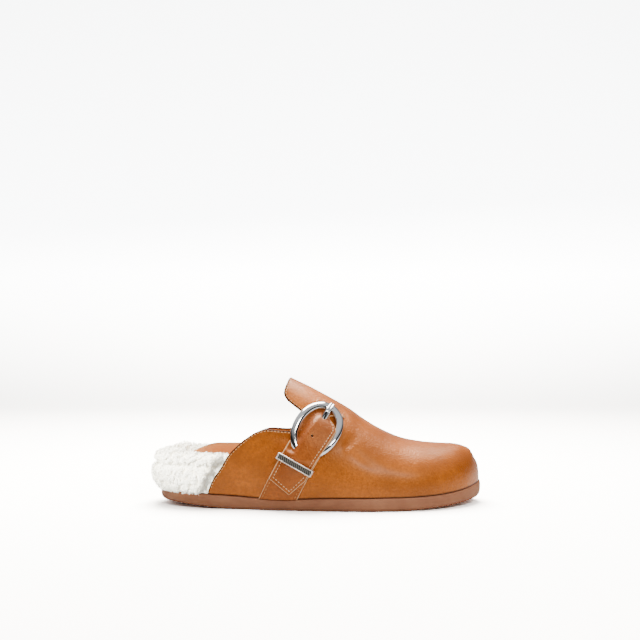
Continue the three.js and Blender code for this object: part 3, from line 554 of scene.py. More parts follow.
ridge_rise = curve(
    np.append(RIDGE["along"], 1),
    np.append(RIDGE["height"] * TAB_HEIGHT - sole_top(RIDGE["along"] * TIP) - GAP, 0), round_ends)


def last_section(x):
    """Middle, half width, base height, rise to the ridge and squareness of the last at x."""
    share = np.clip(x / TIP, 0, 1)
    middle = outline_middle(share) * BALL_WIDTH
    half = outline_half(share) * (BALL_WIDTH - 2 * SIDE_INSET)
    power = np.interp(share, RIDGE["along"], RIDGE["square"])
    return middle, half, sole_top(x) + GAP, ridge_rise(share), power


def last_point(x, turn):
    """Point of the last, at a turn from 0 (outer foot) over 1 (ridge) to 2 (inner foot). It is
    half a superellipse: with a = turn * 90 degrees and r = (|cos a|^p + |sin a|^p)^(-1/p),
    y = middle + shift * (r sin a)^2 - half * r cos a * (1 + bulge * |sin 2a|) and
    z = base + rise * r sin a."""
    middle, half, base, rise, power = last_section(x)
    angle = turn * np.pi / 2
    across = np.cos(angle)
    upward = np.sin(angle)
    reach = (np.abs(across) ** power + np.abs(upward) ** power) ** (-1 / power)
    swell = 1 + BULGE * np.abs(np.sin(2 * angle))
    shift = RIDGE_SHIFT * np.minimum(1, rise / (0.8 * TAB_HEIGHT)) * (reach * upward) ** 2
    return stack(x, middle + shift - half * reach * across * swell, base + rise * reach * upward)


def last_side(x, z, side):
    """Y of the last's surface at a height, on one side: the same superellipse, solved for y."""
    middle, half, base, rise, power = last_section(x)
    up = np.clip((z - base) / rise, 0, 1)
    across = (1 - up ** power) ** (1 / power)
    swell = 1 + BULGE * np.sin(2 * np.arctan2(up, across))
    return middle + RIDGE_SHIFT * up * up + side * half * across * swell


def quarter_edge(z, side):
    """Place of a quarter's edge along the shoe, by height."""
    found = []
    for rows in (OUTER_QUARTER, INNER_QUARTER):
        heights = last_point(rows["along"] * LENGTH, rows["turn"])[:, 2]
        found.append(np.interp(z, heights, rows["along"] * LENGTH))
    return np.where(side < 0, *found)


def fur_surface(angle, out, up):
    """The roll's surface: the outline moved out by FUR_SWELL or in by FUR_DEPTH, and up to the
    rim. Where it comes under a quarter, it stays inside the upper's wall."""
    fade = 1 - 0.55 * smoothstep(np.abs(angle), 0.3, 0.9)
    points = outline_point(angle, -np.where(out > 0, out * FUR_SWELL * fade, out * FUR_DEPTH))
    bottom = sole_top(np.maximum(0, points[..., 0])) + GAP
    points[..., 2] = bottom + up * (RIM_HEIGHT - bottom)
    side = np.where(angle < 0, -1.0, 1.0)
    wall = last_side(np.maximum(points[..., 0], 1), points[..., 2], side)
    limit = wall - side * (WALL + 3 * GAP)
    start = quarter_edge(points[..., 2], side)
    under = smoothstep(points[..., 0], start - 9, start - 3)
    beyond = side * (points[..., 1] - limit) > 0
    tucked = points[..., 1] + (limit - points[..., 1]) * under
    points[..., 1] = np.where(beyond, tucked, points[..., 1])
    return points


def fleece_grid():
    """The roll's grid of points, rows along the heel and columns round its section."""
    end = round_ends(FUR_END / LENGTH)
    angles = np.linspace(-end, end, 181)
    step = np.linspace(0, 1, len(FUR_PROFILE["out"]))
    fine = np.linspace(0, 1, 61)
    out = curve(step, FUR_PROFILE["out"])(fine)
    up = np.clip(curve(step, FUR_PROFILE["up"])(fine), 0, 1)
    return fur_surface(angles[:, None], out[None, :], up[None, :])


def grid_normals(points):
    """Unit normals of a grid of points: the cross product of its two gradients."""
    return unit(np.cross(np.gradient(points, axis=0), np.gradient(points, axis=1)))


def nearest_of(places, centres):
    """Distances from each place to all centres, in parts that fit in memory."""
    for part in np.array_split(places, 20):
        yield np.linalg.norm(part[:, None] - centres[None], axis=-1)


def lumpy(points, normals, random):
    """The grid pushed out by round lumps, LUMP_DEPTH * (1 - (distance / LUMP_RADIUS)^2), and in
    at the crevice by a bell curve of the height; and the lumps' height. The quarters and the
    sole keep their seam: nothing moves there."""
    flat = points.reshape(-1, 3)
    seeds = points[::5, ::3].reshape(-1, 3)
    seeds = seeds + random.normal(scale=1.1, size=seeds.shape)
    nearest = np.concatenate([part.min(1) for part in nearest_of(flat, seeds)])
    lump = LUMP_DEPTH * (1 - np.clip(nearest / LUMP_RADIUS, 0, 1) ** 2)
    quarter = quarter_edge(flat[:, 2], np.where(flat[:, 1] < 0, -1.0, 1.0))
    free = 1 - smoothstep(flat[:, 0], quarter - 3, quarter + 1)
    above_sole = smoothstep(flat[:, 2], 11, 16)
    outside = np.gradient(points, axis=1)[..., 2].ravel() > 0
    crevice = CREVICE_DEPTH * np.exp(-((flat[:, 2] - CREVICE_HEIGHT) / 2.0) ** 2) * outside
    move = (lump - 0.7 - crevice) * free * above_sole
    return flat + normals.reshape(-1, 3) * move[:, None], lump


def fibre_roots(points, random):
    """Cells, places and locks of the fibres, spread by the cells' area. Few stand under the
    quarters, and none on the roll's bottom."""
    corner = points[:-1, :-1]
    along = points[1:, :-1] - corner
    across = points[:-1, 1:] - corner
    area = np.linalg.norm(np.cross(along, across), axis=-1)
    side = np.where(corner[..., 1] < 0, -1.0, 1.0)
    hidden = corner[..., 0] > quarter_edge(corner[..., 2], side) + 1
    area = np.where(hidden, area * 0.12, area)
    area[:, -9:] = 0
    chance = area.ravel() / area.sum()
    i, j = np.unravel_index(random.choice(area.size, FIBRES, p=chance), area.shape)
    u, v = random.random((2, FIBRES, 1))
    root = corner[i, j] + along[i, j] * u + across[i, j] * v
    lock = corner.reshape(-1, 3)[random.choice(area.size, LOCKS, p=chance)]
    owner = np.concatenate([part.argmin(1) for part in nearest_of(root, lock)])
    return (i, j), root, lock, owner


def fleece_fibres(points, normals, random):
    """Curled fibres as narrow ribbons. Each leans and curls with the lock that owns it:
    p(t) = root + normal * 2.7 * reach * t^0.6 + lean * 1.2 * reach * t + to_lock * 0.45 * t
    + 1.15 * t * (lean * cos(spin) + other * sin(spin)) - normal * 1.1 * t^3."""
    cell, root, lock, owner = fibre_roots(points, random)
    normal = normals[cell]
    lean = unit(random.normal(size=(LOCKS, 3)))[owner]
    lean = unit(lean - normal * (lean * normal).sum(-1, keepdims=True))
    other = np.cross(normal, lean)
    turns = random.choice([-1.0, 1.0], LOCKS)[owner] * random.uniform(3.2, 6.5, FIBRES)
    phase = random.uniform(0, 0.9, FIBRES)
    at_heel = np.exp(-((root[:, 0] - 16) / 9) ** 2)
    tuft = at_heel * smoothstep(root[:, 2], RIM_HEIGHT - 5, RIM_HEIGHT)
    short = 1 - 0.6 * np.exp(-((root[:, 2] - CREVICE_HEIGHT) / 2.2) ** 2)
    reach = (random.uniform(0.7, 1.25, FIBRES) * (1 + 0.9 * tuft) * short)[:, None]
    to_lock = lock[owner] - root
    to_lock -= normal * (to_lock * normal).sum(-1, keepdims=True)
    t = np.linspace(0, 1, 7)
    spin = phase[:, None] + turns[:, None] * t
    spine = root[:, None] - normal[:, None] * 0.5
    spine = spine + normal[:, None] * (2.7 * reach * t ** 0.6)[..., None]
    spine = spine + (lean * reach)[:, None] * (1.2 * t)[None, :, None]
    spine = spine + to_lock[:, None] * (0.45 * t)[None, :, None]
    spine = spine + lean[:, None] * (1.15 * t * np.cos(spin))[..., None]
    spine = spine + other[:, None] * (1.15 * t * np.sin(spin))[..., None]
    spine = spine - normal[:, None] * (1.1 * t ** 3)[None, :, None]
    tangent = unit(np.gradient(spine, axis=1))
    taper = (FIBRE_HALF_WIDTH * (1 - 0.72 * t ** 2))[None, :, None]
    width = unit(np.cross(tangent, normal[:, None])) * taper
    ribbon = np.stack([spine - width, spine + width], axis=2)
    start = np.arange(FIBRES)[:, None] * (2 * len(t))
    k = 2 * np.arange(len(t) - 1)[None, :]
    corners = (start + k, start + k + 1, start + k + 3, start + k + 2)
    faces = np.stack(corners, -1).reshape(-1, 4)
    tip = np.broadcast_to(t[None, :, None], ribbon.shape[:3])
    return ribbon.reshape(-1, 3), faces, tip.ravel()


def polyester_fleece(name, tones):
    """Polyester fleece, knitted and brushed into curls: matt white, deeper and creamier at the
    roots than at the tips. The attribute `edge` goes from 0 at a root to 1 at a tip."""
    material, tree, shader = new_material(name)
    root, tip = (tone(code) for code in tones)
    height = add(tree, "Attribute", {}, "Fac", attribute_name="edge")
    share = add(tree, "MapRange", {"Value": height, "From Max": 0.7})
    colour = add(tree, "Mix", {"Factor": share, FIRST: root, SECOND: tip}, MIXED_COLOUR,
                 data_type="RGBA")
    plug(tree, shader, {
        "Base Color": colour, "Roughness": 0.9, "Sheen Weight": 0.6, "Sheen Roughness": 0.4})
    return material


def heel_fleece():
    """The lumpy roll as a closed tube with its two ends, and the fibres that stand on it."""
    random = np.random.default_rng(11)
    points = fleece_grid()
    normals = -grid_normals(points)
    lifted, lump = lumpy(points, normals, random)
    rows, columns = points.shape[:2]
    faces = [grid_faces(rows, columns, around=True)]
    for row in (0, rows - 1):
        low = row * columns + np.arange(columns // 2)
        high = row * columns + columns - 1 - np.arange(columns // 2)
        faces.append(np.stack([low, low + 1, high - 1, high], -1)[:-1])
    share = np.clip((lump - 0.2) / 1.2, 0, 1) * 0.5
    under = polyester_fleece("fleece_base", FLEECE_UNDER)
    roll = add_mesh("heel_fleece_roll", lifted, np.concatenate(faces), under,
                    attributes={"edge": share})
    outward(roll, 0.001)
    dress(roll, "heel_fur")
    ribbons, ribbon_faces, tip = fleece_fibres(lifted.reshape(points.shape), normals, random)
    hair = polyester_fleece("fleece_fibres", FLEECE_CURLS)
    locks = add_mesh("heel_fleece_locks", ribbons, ribbon_faces, hair, attributes={"edge": tip})
    dress(locks, None)


heel_fleece()

# Upper: vamp, quarters and instep tab as one shell of waxed leather with a pale lining. It is
# lasted over the outsole, its cut edge is rounded and painted dark, and a seam runs beside it.

ARC_PER_TURN = 75.0
SEAM_FROM_EDGE = 1.5
SEAM_GROOVE = 0.16
EDGE_STEPS = 270
PAINTED_COLUMNS = 4
SEAM_COLUMN = 5
UPPER_TONES = ("#b55f16", "#8c460e", "#4a2812")
CUT_LEATHER = "#b87036"
LINING = "#e9e2d0"
FOOT_SHADOW = "#35190a"
THREAD = "#cf9a66"

# Edge of the tab, from the notch where a quarter's edge ends up to the ridge.
TAB_EDGE = table("turn along", [
    (0.44, 0.455), (0.545, 0.444), (0.572, 0.423), (0.6, 0.399), (0.645, 0.386), (0.7, 0.388),
    (0.8, 0.395), (1, 0.404)])

# Creases: place along and turn, length and width in millimetres, lean in radians, and depth.
CREASES = table("along turn length width lean depth", [
    (0.585, 0.44, 8, 2.6, 0.9, 1.6),
    (0.572, 0.72, 7, 1.8, -1.2, 0.5),
    (0.61, 0.37, 14, 4, -0.45, 0.55),
    (0.6, 0.6, 11, 4, 1.2, 0.45),
    (0.4, 0.335, 16, 1.8, 0.1, 0.55),
    (0.43, 0.25, 14, 4, 0.5, 0.3),
    (0.6, 1.45, 16, 5, -0.8, 0.5),
    (0.56, 1.6, 14, 4, -0.6, 0.35)])

# Distances of the first columns of points from the cut edge, in millimetres.
NEAR_EDGE = np.array([0, 0.25, 0.5, 0.8, 1.1, 1.5, 1.9, 2.3, 2.7, 3.1, 3.6, 4.2])

# Pitch, length and width of the seam's stitches.
UPPER_STITCH = (2.7, 1.9, 0.7)


def last_normal(x, turn):
    """Unit normal of the last, from short chords along it and up it."""
    step = 0.01
    along = last_point(x + step, turn) - last_point(x - step, turn)
    up = last_point(x, turn + step) - last_point(x, turn - step)
    return unit(np.cross(along, up))


def lengths_along(points):
    """Length of a line from its first point to each of its points."""
    return np.concatenate([[0], np.cumsum(np.linalg.norm(np.diff(points, axis=0), axis=1))])


def edge_of_one_side(quarter):
    """Turns and places of the cut edge from the foot over the notch to the ridge."""
    tab = curve(TAB_EDGE["turn"], TAB_EDGE["along"])
    notch = quarter["turn"][-1]
    low = np.linspace(0, notch, 240)
    share = np.linspace(0, 1, 240)[1:]
    high = tab(TAB_EDGE["turn"][0] + share * (1 - TAB_EDGE["turn"][0]))
    turn = np.concatenate([low, notch + share * (1 - notch)])
    return turn, np.concatenate([curve(quarter["turn"], quarter["along"])(low), high]) * LENGTH


def upper_edge():
    """The cut edge from the outer foot over the tab to the inner foot, as turn and place, at
    equal steps of arc, with its corners smoothed by a mean of three, four times."""
    outer_turn, outer_x = edge_of_one_side(OUTER_QUARTER)
    inner_turn, inner_x = edge_of_one_side(INNER_QUARTER)
    turn = np.concatenate([outer_turn, 2 - inner_turn[-2::-1]])
    x = np.concatenate([outer_x, inner_x[-2::-1]])
    for _ in range(3):
        run = lengths_along(last_point(x, turn))
        even = np.linspace(0, run[-1], EDGE_STEPS)
        turn, x = np.interp(even, run, turn), np.interp(even, run, x)
    for _ in range(4):
        turn[1:-1] = (turn[:-2] + 2 * turn[1:-1] + turn[2:]) / 4
        x[1:-1] = (x[:-2] + 2 * x[1:-1] + x[2:]) / 4
    return turn, x, even


def walk(x, turn, move):
    """Moves surface places by a 3-D step in the surface: the step's parts along the last and
    up it come from two equations in the surface's two slopes."""
    small = 0.005
    here = last_point(x, turn)
    per_x = (last_point(x + small, turn) - here) / small
    per_turn = (last_point(x, turn + small) - here) / small
    xx, xt, tt = ((a * b).sum(-1) for a, b in
                  ((per_x, per_x), (per_x, per_turn), (per_turn, per_turn)))
    mx, mt = (per_x * move).sum(-1), (per_turn * move).sum(-1)
    det = xx * tt - xt * xt
    return x + (mx * tt - mt * xt) / det, turn + (mt * xx - mx * xt) / det


def crease_depth(x, turn):
    """Sum of soft troughs: depth * exp(-(p / length)^2 - (q / width)^2), where p and q run along
    and across a trough that leans up from the toe's direction."""
    total = np.zeros(np.broadcast(x, turn).shape)
    for along, at, length, width, lean, depth in zip(*CREASES.values()):
        u = x - along * LENGTH
        v = (turn - at) * ARC_PER_TURN
        p = u * np.cos(lean) + v * np.sin(lean)
        q = v * np.cos(lean) - u * np.sin(lean)
        total += depth * np.exp(-(p / length) ** 2 - (q / width) ** 2)
    return total


def upper_places():
    """Places on the upper as (rows along the cut edge) x (steps away from it): short steps
    square to the edge, then on to the toe while the turns spread evenly. Near the two feet
    the steps run straight forward, so that the upper stands on the sole."""
    turn, x, run = upper_edge()
    tangent = unit(np.gradient(last_point(x, turn), axis=0))
    inward = unit(np.cross(tangent, last_normal(x, turn)))
    off_foot = smoothstep(np.minimum(run, run[-1] - run), 0, 9)
    inward = unit(inward * off_foot[:, None] + np.array([1.0, 0, 0]) * (1 - off_foot[:, None]))
    xs, turns = [x], [turn]
    for step in np.diff(NEAR_EDGE):
        next_x, next_turn = walk(xs[-1], turns[-1], inward * step)
        held = turn + (next_turn - turn) * off_foot
        xs.append(next_x)
        turns.append(np.clip(np.where(off_foot < 0.999, held, next_turn), 0, 2))
    t = np.linspace(0, 1, 96)[1:-1]
    far_x = xs[-1][:, None] + (TIP - xs[-1])[:, None] * (np.sin(t * np.pi / 2) ** 1.12)[None, :]
    spread = smoothstep(t, 0.0, 0.9)
    even = np.linspace(0, 2, len(turn))
    far_turn = turns[-1][:, None] * (1 - spread) + even[:, None] * spread
    all_x = np.concatenate([np.array(xs).T, far_x], axis=1)
    all_turn = np.concatenate([np.array(turns).T, far_turn], axis=1)
    away = np.concatenate([NEAR_EDGE, NEAR_EDGE[-1] + np.arange(1, len(t) + 1) * 1.5])
    return all_x, all_turn, np.broadcast_to(away, all_x.shape)


def upper_shell():
    """Each row runs over the outer face to the edge, round it by half a circle and back over
    the inner face, WALL below. The outer face has the creases and a groove under the seam."""
    x, turn, away = upper_places()
    normal = last_normal(x, turn)
    surface = last_point(x, turn)
    groove = SEAM_GROOVE * np.exp(-((away - SEAM_FROM_EDGE) / 0.35) ** 2)
    outer = surface - normal * (crease_depth(x, turn) + groove)[..., None]
    inner = surface - normal * WALL
    radius = WALL / 2
    first = unit(outer[:, PAINTED_COLUMNS] - outer[:, 0])
    arc = np.radians(np.linspace(0, 180, 9))
    centre = surface[:, 0] + first * radius - normal[:, 0] * radius
    roll = centre[:, None] - first[:, None] * (radius * np.sin(arc))[None, :, None]
    roll = roll + normal[:, :1] * (radius * np.cos(arc))[None, :, None]
    towards_edge = outer[:, :PAINTED_COLUMNS - 1:-1]
    grid = np.concatenate([towards_edge, roll, inner[:, PAINTED_COLUMNS:]], axis=1)
    distance = np.concatenate([
        away[:, :PAINTED_COLUMNS - 1:-1], np.zeros((len(x), len(arc))),
        -away[:, PAINTED_COLUMNS:]], axis=1)
    return grid, distance, surface, normal


def waxed_upper_leather():
    """The upper's grain leather, with more to it: raw leather just inside the painted edge, a
    cream textile lining further in, where `edge` is negative, and a painted shadow, a dark line
    where the upper meets the sole, from the attribute `foot`, the height over the sole."""
    material = grain_leather("upper_leather", UPPER_TONES, (0.75, 1.05), 0.34)
    tree = material.node_tree
    shader = tree.nodes["Principled BSDF"]
    colour = shader.inputs["Base Color"].links[0].from_socket
    distance = add(tree, "Attribute", {}, "Fac", attribute_name="edge")
    height = add(tree, "Attribute", {}, "Fac", attribute_name="foot")
    for value, low, high, strength, code in (
            (distance, -1.2, -0.9, 1.0, CUT_LEATHER),
            (distance, -10.0, -9.0, 1.0, LINING),
            (height, 0.5, 1.5, 0.85, FOOT_SHADOW)):
        share = add(tree, "MapRange", {
            "Value": value, "From Min": low, "From Max": high, "To Min": strength, "To Max": 0.0})
        colour = add(tree, "Mix", {"Factor": share, FIRST: colour, SECOND: tone(code)},
                     MIXED_COLOUR, data_type="RGBA")
    plug(tree, shader, {"Base Color": colour})
    return material


def upper():
    """The shell's grid, closed at the toe by fans to an outer and an inner point, and at both
    feet by strips between the outer and the inner face. Returns the last's points and normals
    behind the outer face."""
    grid, distance, surface, normal = upper_shell()
    rows, columns = grid.shape[:2]
    tip = last_point(np.array([TIP]), np.array([0.0]))
    points = np.concatenate([grid.reshape(-1, 3), tip, tip - [[WALL, 0, 0]]])
    outer_tip, inner_tip = rows * columns, rows * columns + 1
    end = columns - 1
    start = np.arange(rows - 1) * columns
    outer_fan = np.stack([start, start + columns, np.full(rows - 1, outer_tip)], -1)
    inner_fan = np.stack([start + columns + end, start + end, np.full(rows - 1, inner_tip)], -1)
    faces = grid_faces(rows, columns).tolist() + outer_fan.tolist() + inner_fan.tolist()
    for row in (0, rows - 1):
        low = row * columns + np.arange(columns // 2 - 1)
        high = row * columns + end - np.arange(columns // 2 - 1)
        faces += np.stack([low, low + 1, high - 1, high], -1).tolist()
        faces.append([row * columns, row * columns + end, inner_tip, outer_tip])
    marks = {
        "edge": np.concatenate([distance.ravel(), [99.0, -99.0]]),
        "foot": points[:, 2] - sole_top(points[:, 0]) - GAP}
    piece = add_mesh("upper_leather_shell", points, faces, waxed_upper_leather(), attributes=marks)
    outward(piece, 0.002)
    dress(piece, "upper")
    return surface, normal


def along_line(line, run, at):
    """Points of a line at given lengths along it."""
    return np.stack([np.interp(at, run, line[:, axis]) for axis in range(3)], -1)


def stitches(name, line, normals, sizes, material):
    """Short threads along a line of points; sizes are their pitch, length and width. Each is a
    capsule of 7 rings of 8 points, whose half width is width / 2 * sqrt(1 - |t|^3), with its
    ends sunk a little by t^2."""
    pitch, length, width = sizes
    run = lengths_along(line)
    at = np.arange(pitch / 2, run[-1], pitch)
    centre = along_line(line, run, at)
    up = unit(along_line(normals, run, at))
    along = unit(along_line(line, run, at + 0.4) - along_line(line, run, at - 0.4))
    side = np.cross(up, along)
    around = np.linspace(0, 2 * np.pi, 9)[:-1]
    t = np.linspace(-1, 1, 7)
    swell = np.sqrt(np.clip(1 - np.abs(t) ** 3, 0.02, 1))
    sideways = swell[:, None] * np.cos(around) * width / 2
    lift = swell[:, None] * (0.12 + np.sin(around)) * width / 2 - 0.1 * (t ** 2)[:, None]
    points = centre[:, None, None] + along[:, None, None] * (t * length / 2)[None, :, None, None]
    points = points + side[:, None, None] * sideways[None, :, :, None]
    points = points + up[:, None, None] * lift[None, :, :, None]
    block = len(t) * len(around)
    base = np.arange(len(at))[:, None, None] * block
    faces = (grid_faces(len(t), len(around), around=True)[None] + base).reshape(-1, 4).tolist()
    for ring in (0, len(t) - 1):
        faces += (base[:, 0] + ring * len(around) + np.arange(len(around))).tolist()
    piece = add_mesh(name, points.reshape(-1, 3), faces, material)
    outward(piece)
    dress(piece, None)


def sewing_thread(name, code):
    """Bonded polyester thread: plain and a little rough, as its twist doesn't show."""
    material, tree, shader = new_material(name)
    plug(tree, shader, {"Base Color": tone(code), "Roughness": 0.6})
    return material


surface, surface_normal = upper()
stitches("upper_stitches", surface[4:-4, SEAM_COLUMN], surface_normal[4:-4, SEAM_COLUMN],
         UPPER_STITCH, sewing_thread("thread", THREAD))

# Straps: a short base strap fixed at the sole, and a long strap through the ring, cut from
# waxed leather with pale raw edges and stitched along a margin. They lie on the upper's outer
# side, the long one over the ring's lower limb and under its upper one.

STRAP_THICKNESS = 1.8
BASE_WIDTH = 27.0
BASE_LENGTH = 48.0
TAIL_WIDTH = 25.5
TIP_RUN = 7.8
TIP_SIDE = 0.5
HEEL_CORNER = 4.0
TOE_CORNER = 15.0
RING_LENGTH = 49.0
RING_WIDTH = 37.4
RING_DEPTH = 3.4
RING_CENTRE = 61.4
HOLE_LENGTH = 8.4
HOLE_FROM_CENTRE = 12.0
HOLE_RUN = RING_CENTRE + HOLE_FROM_CENTRE
SPARE_HOLE = 19.0
SPARE_RADIUS = 1.1
PRONG_WIDTH = 4.0
BASE_TOP = GAP + STRAP_THICKNESS
RING_UNDER = BASE_TOP + GAP
RING_OVER = RING_UNDER + RING_DEPTH
RING_HALF = RING_LENGTH / 2
TAIL_END = RING_CENTRE + RING_HALF + 3.8
TAIL_END_ROUND = 5.0
MARGIN = 2.4
CUT_RADIUS = 0.45
BASE_STITCH = (2.8, 2.0, 0.6)
TAIL_STITCH = (2.6, 1.9, 0.72)
STRAP_TONES = ("#a2521a", "#7a3a12", "#e0b184")
STRAP_THREAD = "#d9ae83"
FAINT_THREAD = "#bd8148"

# Middle line of the straps on the last: turn and place along.
STRAP_LINE = table("turn along", [(0, 0.37), (0.18, 0.42), (0.43, 0.484), (0.77, 0.536), (1, 0.56)])

# The long strap, by distance from the ring's middle in halves of the ring: lift as a share of
# the way over the ring, and half widths towards the heel and the toe as shares.
TAIL_LIFT = table("distance lift", [
    (-2.7, 0.36), (-1.85, 0.38), (-1.5, 0.5), (-1.25, 0.76), (-1.06, 1), (-0.58, 1), (-0.2, 0.93),
    (0.15, 0.82), (0.37, 0.56), (0.5, 0.26), (0.62, 0), (1.6, 0)])
TAIL_SIDES = table("distance heel toe", [
    (-2.5, 1.02, 1.02), (-1.2, 1, 1), (-0.8, 1, 1.04), (-0.4, 1.06, 1.08), (0, 1.14, 1.08),
    (0.2, 1.14, 1.04), (0.36, 1.1, 0.72), (0.5, 1, 0.3), (0.62, 0.94, 0.24), (0.8, 0.94, 0.6),
    (0.95, 1.02, 1.02), (1.2, 1.05, 1.08)])

strap_along = curve(STRAP_LINE["turn"], STRAP_LINE["along"])
tail_shape = curve(TAIL_LIFT["distance"], TAIL_LIFT["lift"])
heel_share = curve(TAIL_SIDES["distance"], TAIL_SIDES["heel"])
toe_share = curve(TAIL_SIDES["distance"], TAIL_SIDES["toe"])
line_turns = np.linspace(-0.15, 1, 141)
line_runs = lengths_along(last_point(strap_along(line_turns) * LENGTH, line_turns))
line_runs -= np.interp(0, line_turns, line_runs)


def on_strap(run, across, lift):
    """Point over the upper: run millimetres up the straps' middle line, then across towards the
    toe by five steps in the surface, square to the line, then out by lift."""
    run, across, lift = np.broadcast_arrays(run, across, lift)
    turn = np.interp(run, line_runs, line_turns)
    x = strap_along(turn) * LENGTH
    step = 0.01
    up = unit(last_point(strap_along(turn + step) * LENGTH, turn + step)
              - last_point(strap_along(turn - step) * LENGTH, turn - step))
    for _ in range(5):
        normal = last_normal(x, turn)
        up = unit(up - normal * (up * normal).sum(-1, keepdims=True))
        x, turn = walk(x, turn, np.cross(up, normal) * (across / 5)[..., None])
    return last_point(x, turn) + last_normal(x, turn) * np.asarray(lift, float)[..., None]


def tail_half(run, toe_side):
    """Half width of the long strap towards the heel or towards the toe."""
    distance = (run - RING_CENTRE) / RING_HALF
    return np.where(toe_side, toe_share(distance), heel_share(distance)) * TAIL_WIDTH / 2


def tail_lift(run, across):
    """Lift of the long strap, which follows the ring's oval. On the heel side it dips under the
    ring, whose lower end there shows over the leather."""
    oval = RING_HALF * np.sqrt(np.clip(1 - (2 * across / RING_WIDTH) ** 2, 0.05, 1))
    share = np.clip((run - RING_CENTRE) / oval, -2.7, 1.6)
    lift = GAP + np.clip(tail_shape(share), 0, 1) * RING_OVER
    begin = 1.5 + 1.5 * smoothstep(run, 42, 52)
    dip = smoothstep(-across, begin, begin + 8.0) * smoothstep(run, 34.5, 38.5)
    tucked = GAP + BASE_TOP * (1 - smoothstep(run, 45, 50))
    return lift + (np.minimum(lift, tucked) - lift) * dip


def strap_foot(across):
    """Lowest run along each line of the strap that clears the outsole, by halving."""
    low = np.full(across.shape, -12.0)
    high = np.full(across.shape, 20.0)
    for _ in range(24):
        run = (low + high) / 2
        points = on_strap(run, across, 0)
        clear = points[..., 2] > sole_top(points[..., 0]) + GAP
        high = np.where(clear, run, high)
        low = np.where(clear, low, run)
    return high


def strap_piece(name, node, run, across, lift, edge, material):
    """A closed strap over the grid of (run, across), with long edges rounded by a quarter circle
    and a groove in its margin. edge is the distance to the cut, in millimetres."""
    inside = np.clip(CUT_RADIUS - edge, 0, CUT_RADIUS)
    fall = CUT_RADIUS - np.sqrt(CUT_RADIUS ** 2 - inside ** 2)
    groove = SEAM_GROOVE * np.exp(-((edge - MARGIN) / 0.45) ** 2)
    under = on_strap(run, across, lift + fall * 0.5)
    over = on_strap(run, across, lift + STRAP_THICKNESS - fall - groove)
    points, faces = closed_slab(under, over)
    marks = np.concatenate([np.full_like(edge, -1), edge[:, ::-1]], axis=1)
    piece = add_mesh(name, points, faces, material, attributes={"edge": marks})
    outward(piece)
    dress(piece, node)
    return piece, over


def edge_spaced(half, count, margin):
    """Positions across a strap, close together in the margins and wider between them."""
    inner = np.linspace(-half + margin, half - margin, count)
    close = half - margin * (1 - np.linspace(0, 1, 14)[1:])
    return np.concatenate([-close[::-1], inner, close])


def base_strap(leather):
    """A straight band from the outsole to BASE_LENGTH, with a seam near each side."""
    across = edge_spaced(BASE_WIDTH / 2, 12, 3.6)
    t = np.linspace(0, 1, 90)[:, None]
    run = strap_foot(across)[None, :] * (1 - t) + BASE_LENGTH * t
    across = np.broadcast_to(across, run.shape)
    edge = np.minimum(BASE_WIDTH / 2 - np.abs(across), np.maximum(BASE_LENGTH - run, 0))
    _, over = strap_piece("base_strap_leather", "base_strap", run, across, GAP, edge, leather)
    normals = grid_normals(over)
    normals = normals * np.sign(-normals[..., 1:2])
    thread = sewing_thread("faint_thread", FAINT_THREAD)
    for name, column in (("base_stitches_heel", 8), ("base_stitches_toe", -9)):
        stitches(name, over[2:-20, column], normals[2:-20, column], BASE_STITCH, thread)


def strap_axes(run, across=0.0):
    """Centre, normal, direction up the strap and direction to the toe, at one place."""
    centre = on_strap(run, across, 0.0)
    normal = unit(on_strap(run, across, 1.0) - centre)
    along = unit(on_strap(run + 0.1, across, 0.0) - on_strap(run - 0.1, across, 0.0))
    along = unit(along - normal * (along * normal).sum())
    return centre, normal, along, np.cross(along, normal)


def hole_punch(run, outline, leather):
    """A straight prism through the strap, from an outline of (to the toe, along) offsets."""
    centre, normal, along, to_toe = strap_axes(run)
    ring = centre + outline[:, :1] * to_toe + outline[:, 1:] * along
    count = len(ring)
    i = np.arange(count)
    sides = np.stack([i, (i + 1) % count, (i + 1) % count + count, i + count], -1).tolist()
    faces = sides + [i[::-1].tolist(), (i + count).tolist()]
    points = np.concatenate([ring - normal * 3, ring + normal * 14])
    punch = add_mesh("strap_cutter", points, faces, leather, smooth=False)
    outward(punch)
    return punch


def rounded(angle, power):
    """Offsets of a superellipse: signed powers 2 / power of the cosine and the sine."""
    cosine, sine = np.cos(angle), np.sin(angle)
    return (np.sign(cosine) * np.abs(cosine) ** (2 / power),
            np.sign(sine) * np.abs(sine) ** (2 / power))


def punch_holes(piece, leather):
    """The long strap less a round spare hole and the prong's oval hole."""
    turn = np.linspace(0, 2 * np.pi, 25)[:-1]
    spare = np.stack([np.cos(turn), np.sin(turn)], -1) * SPARE_RADIUS
    oval = np.stack(rounded(turn, 2.5), -1) * [PRONG_WIDTH / 2 + 0.45, HOLE_LENGTH / 2]
    for run, outline in ((HOLE_RUN - SPARE_HOLE, spare), (HOLE_RUN, oval)):
        punch = hole_punch(run, outline, leather)
        cut = piece.modifiers.new("cut", "BOOLEAN")
        cut.operation = "DIFFERENCE"
        cut.solver = "EXACT"
        cut.object = punch
        graph = bpy.context.evaluated_depsgraph_get()
        holed = bpy.data.meshes.new_from_object(piece.evaluated_get(graph))
        piece.modifiers.clear()
        piece.data = holed
        bpy.data.objects.remove(punch)


